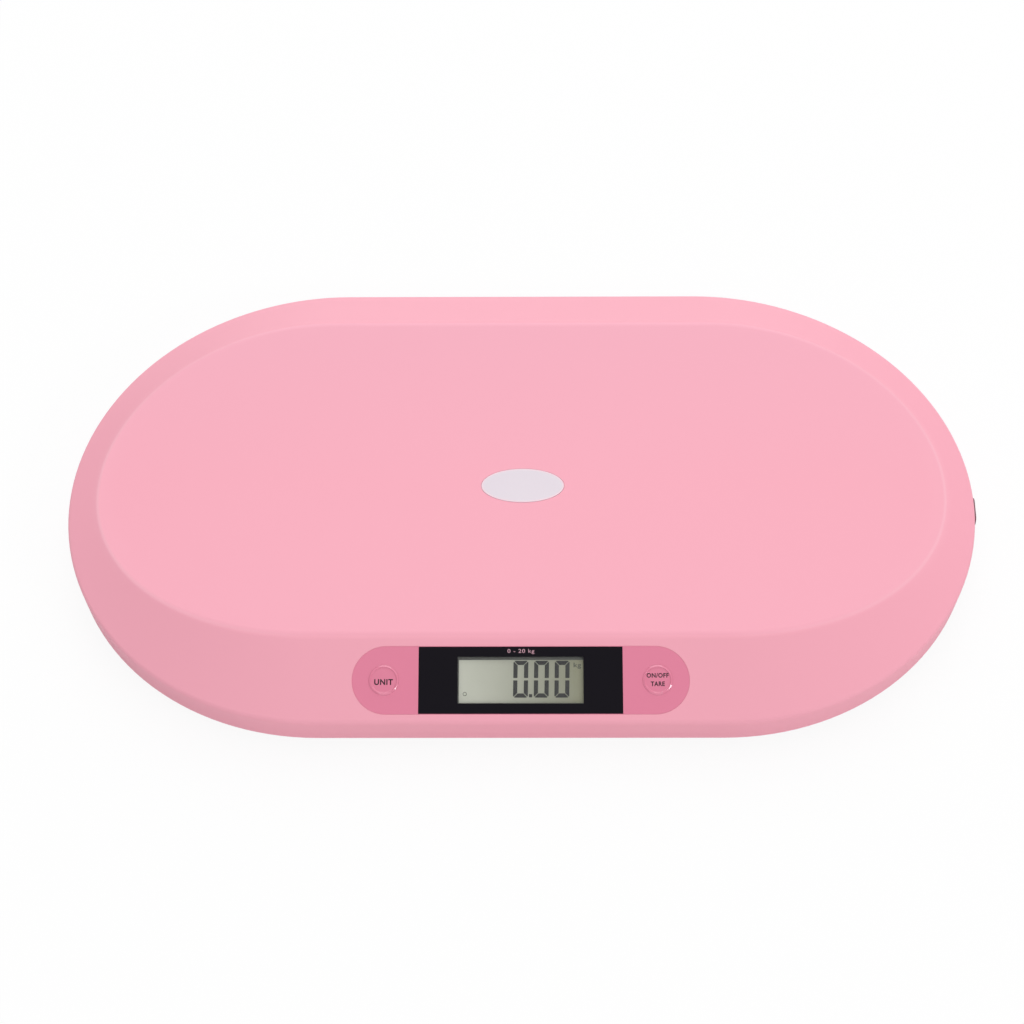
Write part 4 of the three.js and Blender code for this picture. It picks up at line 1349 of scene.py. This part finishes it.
# Feet: rubber pads with a dotted tread, on plastic caps
foot = {
    "padRadius": 16,
    "padHeight": 3,
    "treadRadius": 0.9,
    "treadPitch": 3.2,
    "treadDepth": 0.35,
    "treadMargin": 3,
    "capGap": 0.15,
    "capSeat": 0.1,
    "capRadius": 18.5,
    "capBottom": 1.5,
    "capTop": 6.5,
    "stemRadius": 8,
    "stemTop": 14.85,
}


def buildTreadTree():
    # A flat dot on every point
    tree, source, sink = newShapeTree("padTread", {"Dot Radius": 0.9, "Dot Depth": 0.35})
    cone = {
        "Vertices": 12,
        "Side Segments": 1,
        "Radius Bottom": source["Dot Radius"],
        "Radius Top": mathNode(tree, "MULTIPLY", source["Dot Radius"], 0.7),
        "Depth": source["Dot Depth"],
    }
    dot = addNode(tree, "GeometryNodeMeshCone", cone)["Mesh"]
    flip = {"Geometry": dot, "Rotation": (math.pi, 0, 0)}
    flipped = addNode(tree, "GeometryNodeTransform", flip)["Geometry"]
    dots = instanceNode(tree, source["Geometry"], flipped)
    return finishTree(tree, sink, dots, "footRubber")


treadTree = buildTreadTree()


def buildFoot(place, middle):
    radius, height, deep = foot["padRadius"], foot["padHeight"], foot["treadDepth"]
    profile = [(0, deep), (radius - 2, deep), (radius - 1.6, 0.2), (radius - 1.2, 0)]
    profile += [(radius - 0.5, 0.1), (radius - 0.1, 0.5), (radius, 1)]
    profile += [(radius, height), (0, height)]
    pad = spun("padBody", profile, 72)
    dots = []
    pitch, reach = foot["treadPitch"], radius - foot["treadMargin"]
    steps = int(reach / pitch) + 1
    for i in range(-steps, steps + 1):
        for j in range(-steps, steps + 1):
            x, y = (i + (j % 2) / 2) * pitch, j * pitch * math.sqrt(3) / 2
            if math.hypot(x, y) < reach - foot["treadRadius"] / 2:
                dots.append((x, y, deep))
    values = {"Dot Radius": foot["treadRadius"], "Dot Depth": deep}
    tread = runTree(meshObject("tread", dots, []), treadTree, values)
    whole = joined("footPad_" + place, [pad, tread])
    smooth(at(whole, middle.x, middle.y), 40)
    dress(whole, "footRubber", "foot_" + place, "grey_rubber", "foot_pad_" + place)

    low, high, wide = foot["capBottom"], foot["capTop"], foot["capRadius"]
    inner, roof = radius + foot["capGap"], height + foot["capSeat"]
    stem, top = foot["stemRadius"], foot["stemTop"]
    profile = [(0, roof), (inner, roof), (inner, low), (wide - 0.3, low), (wide, low + 0.3)]
    profile += [(wide, high - 1), (wide - 0.3, high - 0.3), (wide - 1, high), (stem + 1, high)]
    profile += [(stem, high + 1), (stem, top - 0.4), (stem - 0.4, top), (0, top)]
    cap = spun("footCap_" + place, profile, 72)
    smooth(at(cap, middle.x, middle.y), 35)
    dress(cap, "whiteMoulding", "foot_" + place, "white_plastic", "foot_cap_" + place)


for place, middle in footPlaces.items():
    buildFoot(place, middle)
print("feet made")

# Battery door with its barrel, stub pins and finger ridges
door = {
    "length": 50.5,
    "bottom": 10.5,
    "thickness": 2.2,
    "gap": 0.4,
    "barrelRadius": 1.6,
    "pinRadius": 0.9,
    "pinReach": 27.3,
    "ridgeCount": 5,
    "ridgePitch": 1.8,
    "ridgeLength": 14,
    "ridgeWidth": 0.8,
    "ridgeHeight": 0.9,
    "ridgeLevel": 1.0,
    "dipRadius": 20,
    "dipShape": (0.55, 0.4, 1, 1),
    "dipDepth": 1.2,
    "gripInset": 10,
}


def rodAlongX(name, radius, reach, y, z, segments):
    turn = Matrix.Rotation(math.pi / 2, 4, "Y")
    turn.translation = (0, y, z)
    return moved(plug(name, radius, -reach, reach, segments), turn)


def buildDoor():
    bottom, barrel = door["bottom"], door["barrelRadius"]
    free = base["bayY"] - base["bayWidth"] / 2 + door["gap"]
    axisY = base["bayY"] + base["bayWidth"] / 2 - door["gap"] - barrel
    axisZ = bottom + barrel
    outline = rectangle(door["length"], axisY - free, 0, (axisY + free) / 2)
    plate = prism("batteryDoor", outline, bottom, bottom + door["thickness"])
    boolean(plate, rodAlongX("barrel", barrel, door["length"] / 2, axisY, axisZ, 48), "UNION")
    pins = rodAlongX("pins", door["pinRadius"], door["pinReach"], axisY, axisZ, 32)
    boolean(plate, pins, "UNION")
    radius, gripY = door["dipRadius"], free + door["gripInset"]
    dip = moved(ball("dip", radius, 24, 64), Matrix.Diagonal(door["dipShape"]))
    boolean(plate, at(dip, 0, gripY, bottom + door["dipDepth"] - radius))
    soften(plate, 0.2, 2, 40)
    keys = ("ridgeCount", "ridgePitch", "ridgeLength", "ridgeWidth", "ridgeHeight")
    ridges = buildRidges(*[door[key] for key in keys])
    at(ridges, 0, gripY, bottom + door["ridgeLevel"])
    whole = smooth(joined("batteryDoor", [plate, ridges]), 40)
    dress(whole, "pinkShell", "battery_door", "pink_plastic", "battery_door")


buildDoor()
print("battery door made")

# Case screws: pan heads with a cross slot, one on every seat; the names are the tree's inputs
screw = {
    "Head Radius": 3.0,
    "Head Height": 1.7,
    "Shank Radius": 1.5,
    "Shank Length": 15.0,
    "Slot Width": 0.9,
    "Slot Depth": 1.0,
}
screwRise = 0.35


def buildScrewTree():
    tree, source, sink = newShapeTree("caseScrews", screw)
    radius, height = source["Head Radius"], source["Head Height"]
    cone = {
        "Vertices": 32,
        "Radius Bottom": mathNode(tree, "MULTIPLY", radius, 0.8),
        "Radius Top": radius,
        "Depth": height,
    }
    head = addNode(tree, "GeometryNodeMeshCone", cone)["Mesh"]
    length = source["Shank Length"]
    rod = {"Vertices": 24, "Radius": source["Shank Radius"], "Depth": length}
    shank = addNode(tree, "GeometryNodeMeshCylinder", rod)["Mesh"]
    half = mathNode(tree, "MULTIPLY", length, 0.5)
    rise = mathNode(tree, "ADD", half, mathNode(tree, "MULTIPLY", height, 0.9))
    lift = {"Geometry": shank, "Translation": vectorNode(tree, 0, 0, rise)}
    lifted = addNode(tree, "GeometryNodeTransform", lift)["Geometry"]
    booleanKind, solids = "GeometryNodeMeshBoolean", {"Mesh 2": [head, lifted]}
    union = addNode(tree, booleanKind, solids, operation="UNION")["Mesh"]
    long, short = mathNode(tree, "MULTIPLY", radius, 1.2), source["Slot Width"]
    deep = mathNode(tree, "MULTIPLY", source["Slot Depth"], 2.0)
    slots = []
    for across, along in ((long, short), (short, long)):
        size = {"Size": vectorNode(tree, across, along, deep)}
        slots.append(addNode(tree, "GeometryNodeMeshCube", size)["Mesh"])
    solids = {"Mesh 1": union, "Mesh 2": slots}
    carved = addNode(tree, booleanKind, solids, operation="DIFFERENCE")["Mesh"]
    screws = instanceNode(tree, source["Geometry"], carved)
    return finishTree(tree, sink, screws, "platedSteel")


def buildScrews():
    heads = [(place.x, place.y, base["bottom"] + screwRise) for place in screwPlaces]
    made = runTree(meshObject("caseScrews", heads, []), buildScrewTree(), screw)
    dress(smooth(made, 30), "platedSteel", "root", "steel", *screwNodes)


buildScrews()
print("screws made")

# CAD nodes that keep their shape take a finish of their own
finishes = {
    "whiteMoulding": ["lcd_holder", "tape_case", "tape_case_lid"],
    "footRubber": ["display_contact_strip"],
    "solderMask": ["main_board"],
    "darkMoulding": ["controller_chip", "unit_switch", "power_tare_switch", "tape_spool"],
    "platedSteel": ["board_screw_left", "board_screw_right"],
    "springStrip": ["battery_contact_left", "battery_contact_right", "tape_return_spring"],
    "cellJacket": ["battery_1", "battery_2", "battery_3"],
    "tapeCoat": ["tape_roll", "tape_lead"],
    "leadSleeve": ["battery_lead"],
}
for place in footPlaces:
    finishes["platedSteel"].append("load_cell_" + place)
    finishes["darkMoulding"].append("cell_holder_" + place)
    finishes["leadSleeve"].append("cell_lead_" + place)
for look, names in finishes.items():
    for name in names:
        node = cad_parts[name]
        node.data.materials.clear()
        node.data.materials.append(materials[look])
print("inner pieces finished")

# Floor, light and camera; the stage's own lengths are metres
stage = {
    "floorReach": 6,
    "floorShade": (236, 236, 236),
    "shadowShare": 0.09,
    "worldStrength": 0.507,
    "lampDistance": 6,
    "cameraElevation": 52.271,
    "cameraAzimuth": 0.72,
    "cameraDistance": 1.1146,
    "cameraTarget": (-0.0055, 0.0001, 0.0054),
    "cameraRoll": -0.664,
    "focalLength": 63.24,
    "sensorWidth": 36,
}
lamps = {
    "topPanel": {"towards": (0, 0.1, 1), "size": 4.5, "power": 58},
    "backPanel": {"towards": (0, 0.75, 0.66), "size": 4.5, "power": 99},
    "lowBackPanel": {"towards": (0, 0.95, 0.3), "size": 4, "power": 37},
    "backRightPanel": {"towards": (0.62, 0.5, 0.6), "size": 4.2, "power": 22},
    "frontRightLamp": {"towards": (0.711, -0.556, 0.431), "size": 2.2, "height": 0.7, "power": 55},
    "frontPanel": {"towards": (0, -0.9, 0.35), "size": 4.5, "power": 34},
}


def seenAs(tree, bounced, seen, output):
    # Light that bounces meets one shader, and the camera sees the other
    cameraRay = addNode(tree, "ShaderNodeLightPath")["Is Camera Ray"]
    values = {0: cameraRay, 1: bounced, 2: seen}
    mix = addNode(tree, "ShaderNodeMixShader", values)[0]
    feed(tree, tree.nodes[output].inputs, {"Surface": mix})


def buildFloor():
    reach = stage["floorReach"] / mm
    floor = prism("floor", rectangle(reach, reach), -20, 0)
    made = bpy.data.materials.new("paleFloor")
    made.use_nodes = True
    tree = made.node_tree
    tree.nodes.remove(tree.nodes["Principled BSDF"])
    diffuse, glow = "ShaderNodeBsdfDiffuse", addNode(tree, "ShaderNodeEmission")[0]
    shade = addNode(tree, diffuse, {"Color": (1, 1, 1, 1)})[0]
    bounced = addNode(tree, diffuse, {"Color": linear(*stage["floorShade"])})[0]
    values = {0: stage["shadowShare"], 1: glow, 2: shade}
    seenAs(tree, bounced, addNode(tree, "ShaderNodeMixShader", values)[0], "Material Output")
    floor.data.materials.append(made)


def buildLight():
    world = bpy.data.worlds.new("studio")
    bpy.context.scene.world = world
    world.use_nodes = True
    tree = world.node_tree
    back, white = tree.nodes["Background"], {"Color": (1, 1, 1, 1)}
    feed(tree, back.inputs, {**white, "Strength": stage["worldStrength"]})
    seen = addNode(tree, "ShaderNodeBackground", white)[0]
    seenAs(tree, back.outputs[0], seen, "World Output")
    for name, lamp in lamps.items():
        data = bpy.data.lights.new(name, "AREA")
        data.shape = "RECTANGLE"
        data.size = lamp["size"]
        data.size_y = lamp.get("height", lamp["size"])
        data.energy = lamp["power"]
        away = Vector(lamp["towards"]).normalized()
        made = newObject(name, data)
        made.location = away * stage["lampDistance"]
        made.rotation_euler = away.to_track_quat("Z", "Y").to_euler()


def buildCamera():
    elevation = math.radians(stage["cameraElevation"])
    azimuth = math.radians(stage["cameraAzimuth"])
    away = Vector((0, -math.cos(elevation), math.sin(elevation)))
    away.rotate(Matrix.Rotation(azimuth, 3, "Z"))
    data = bpy.data.cameras.new("photoCamera")
    data.lens = stage["focalLength"]
    data.sensor_width = stage["sensorWidth"]
    data.sensor_fit = "HORIZONTAL"
    data.clip_end = 50
    camera = newObject("photoCamera", data)
    camera.location = Vector(stage["cameraTarget"]) + away * stage["cameraDistance"]
    swing = Matrix.Rotation(azimuth, 4, "Z")
    tilt = Matrix.Rotation(math.pi / 2 - elevation, 4, "X")
    roll = Matrix.Rotation(math.radians(stage["cameraRoll"]), 4, "Z")
    camera.rotation_euler = (swing @ tilt @ roll).to_euler()
    bpy.context.scene.camera = camera


buildFloor()
buildLight()
buildCamera()
view = bpy.context.scene.view_settings
view.view_transform = "Standard"
print("stage made")
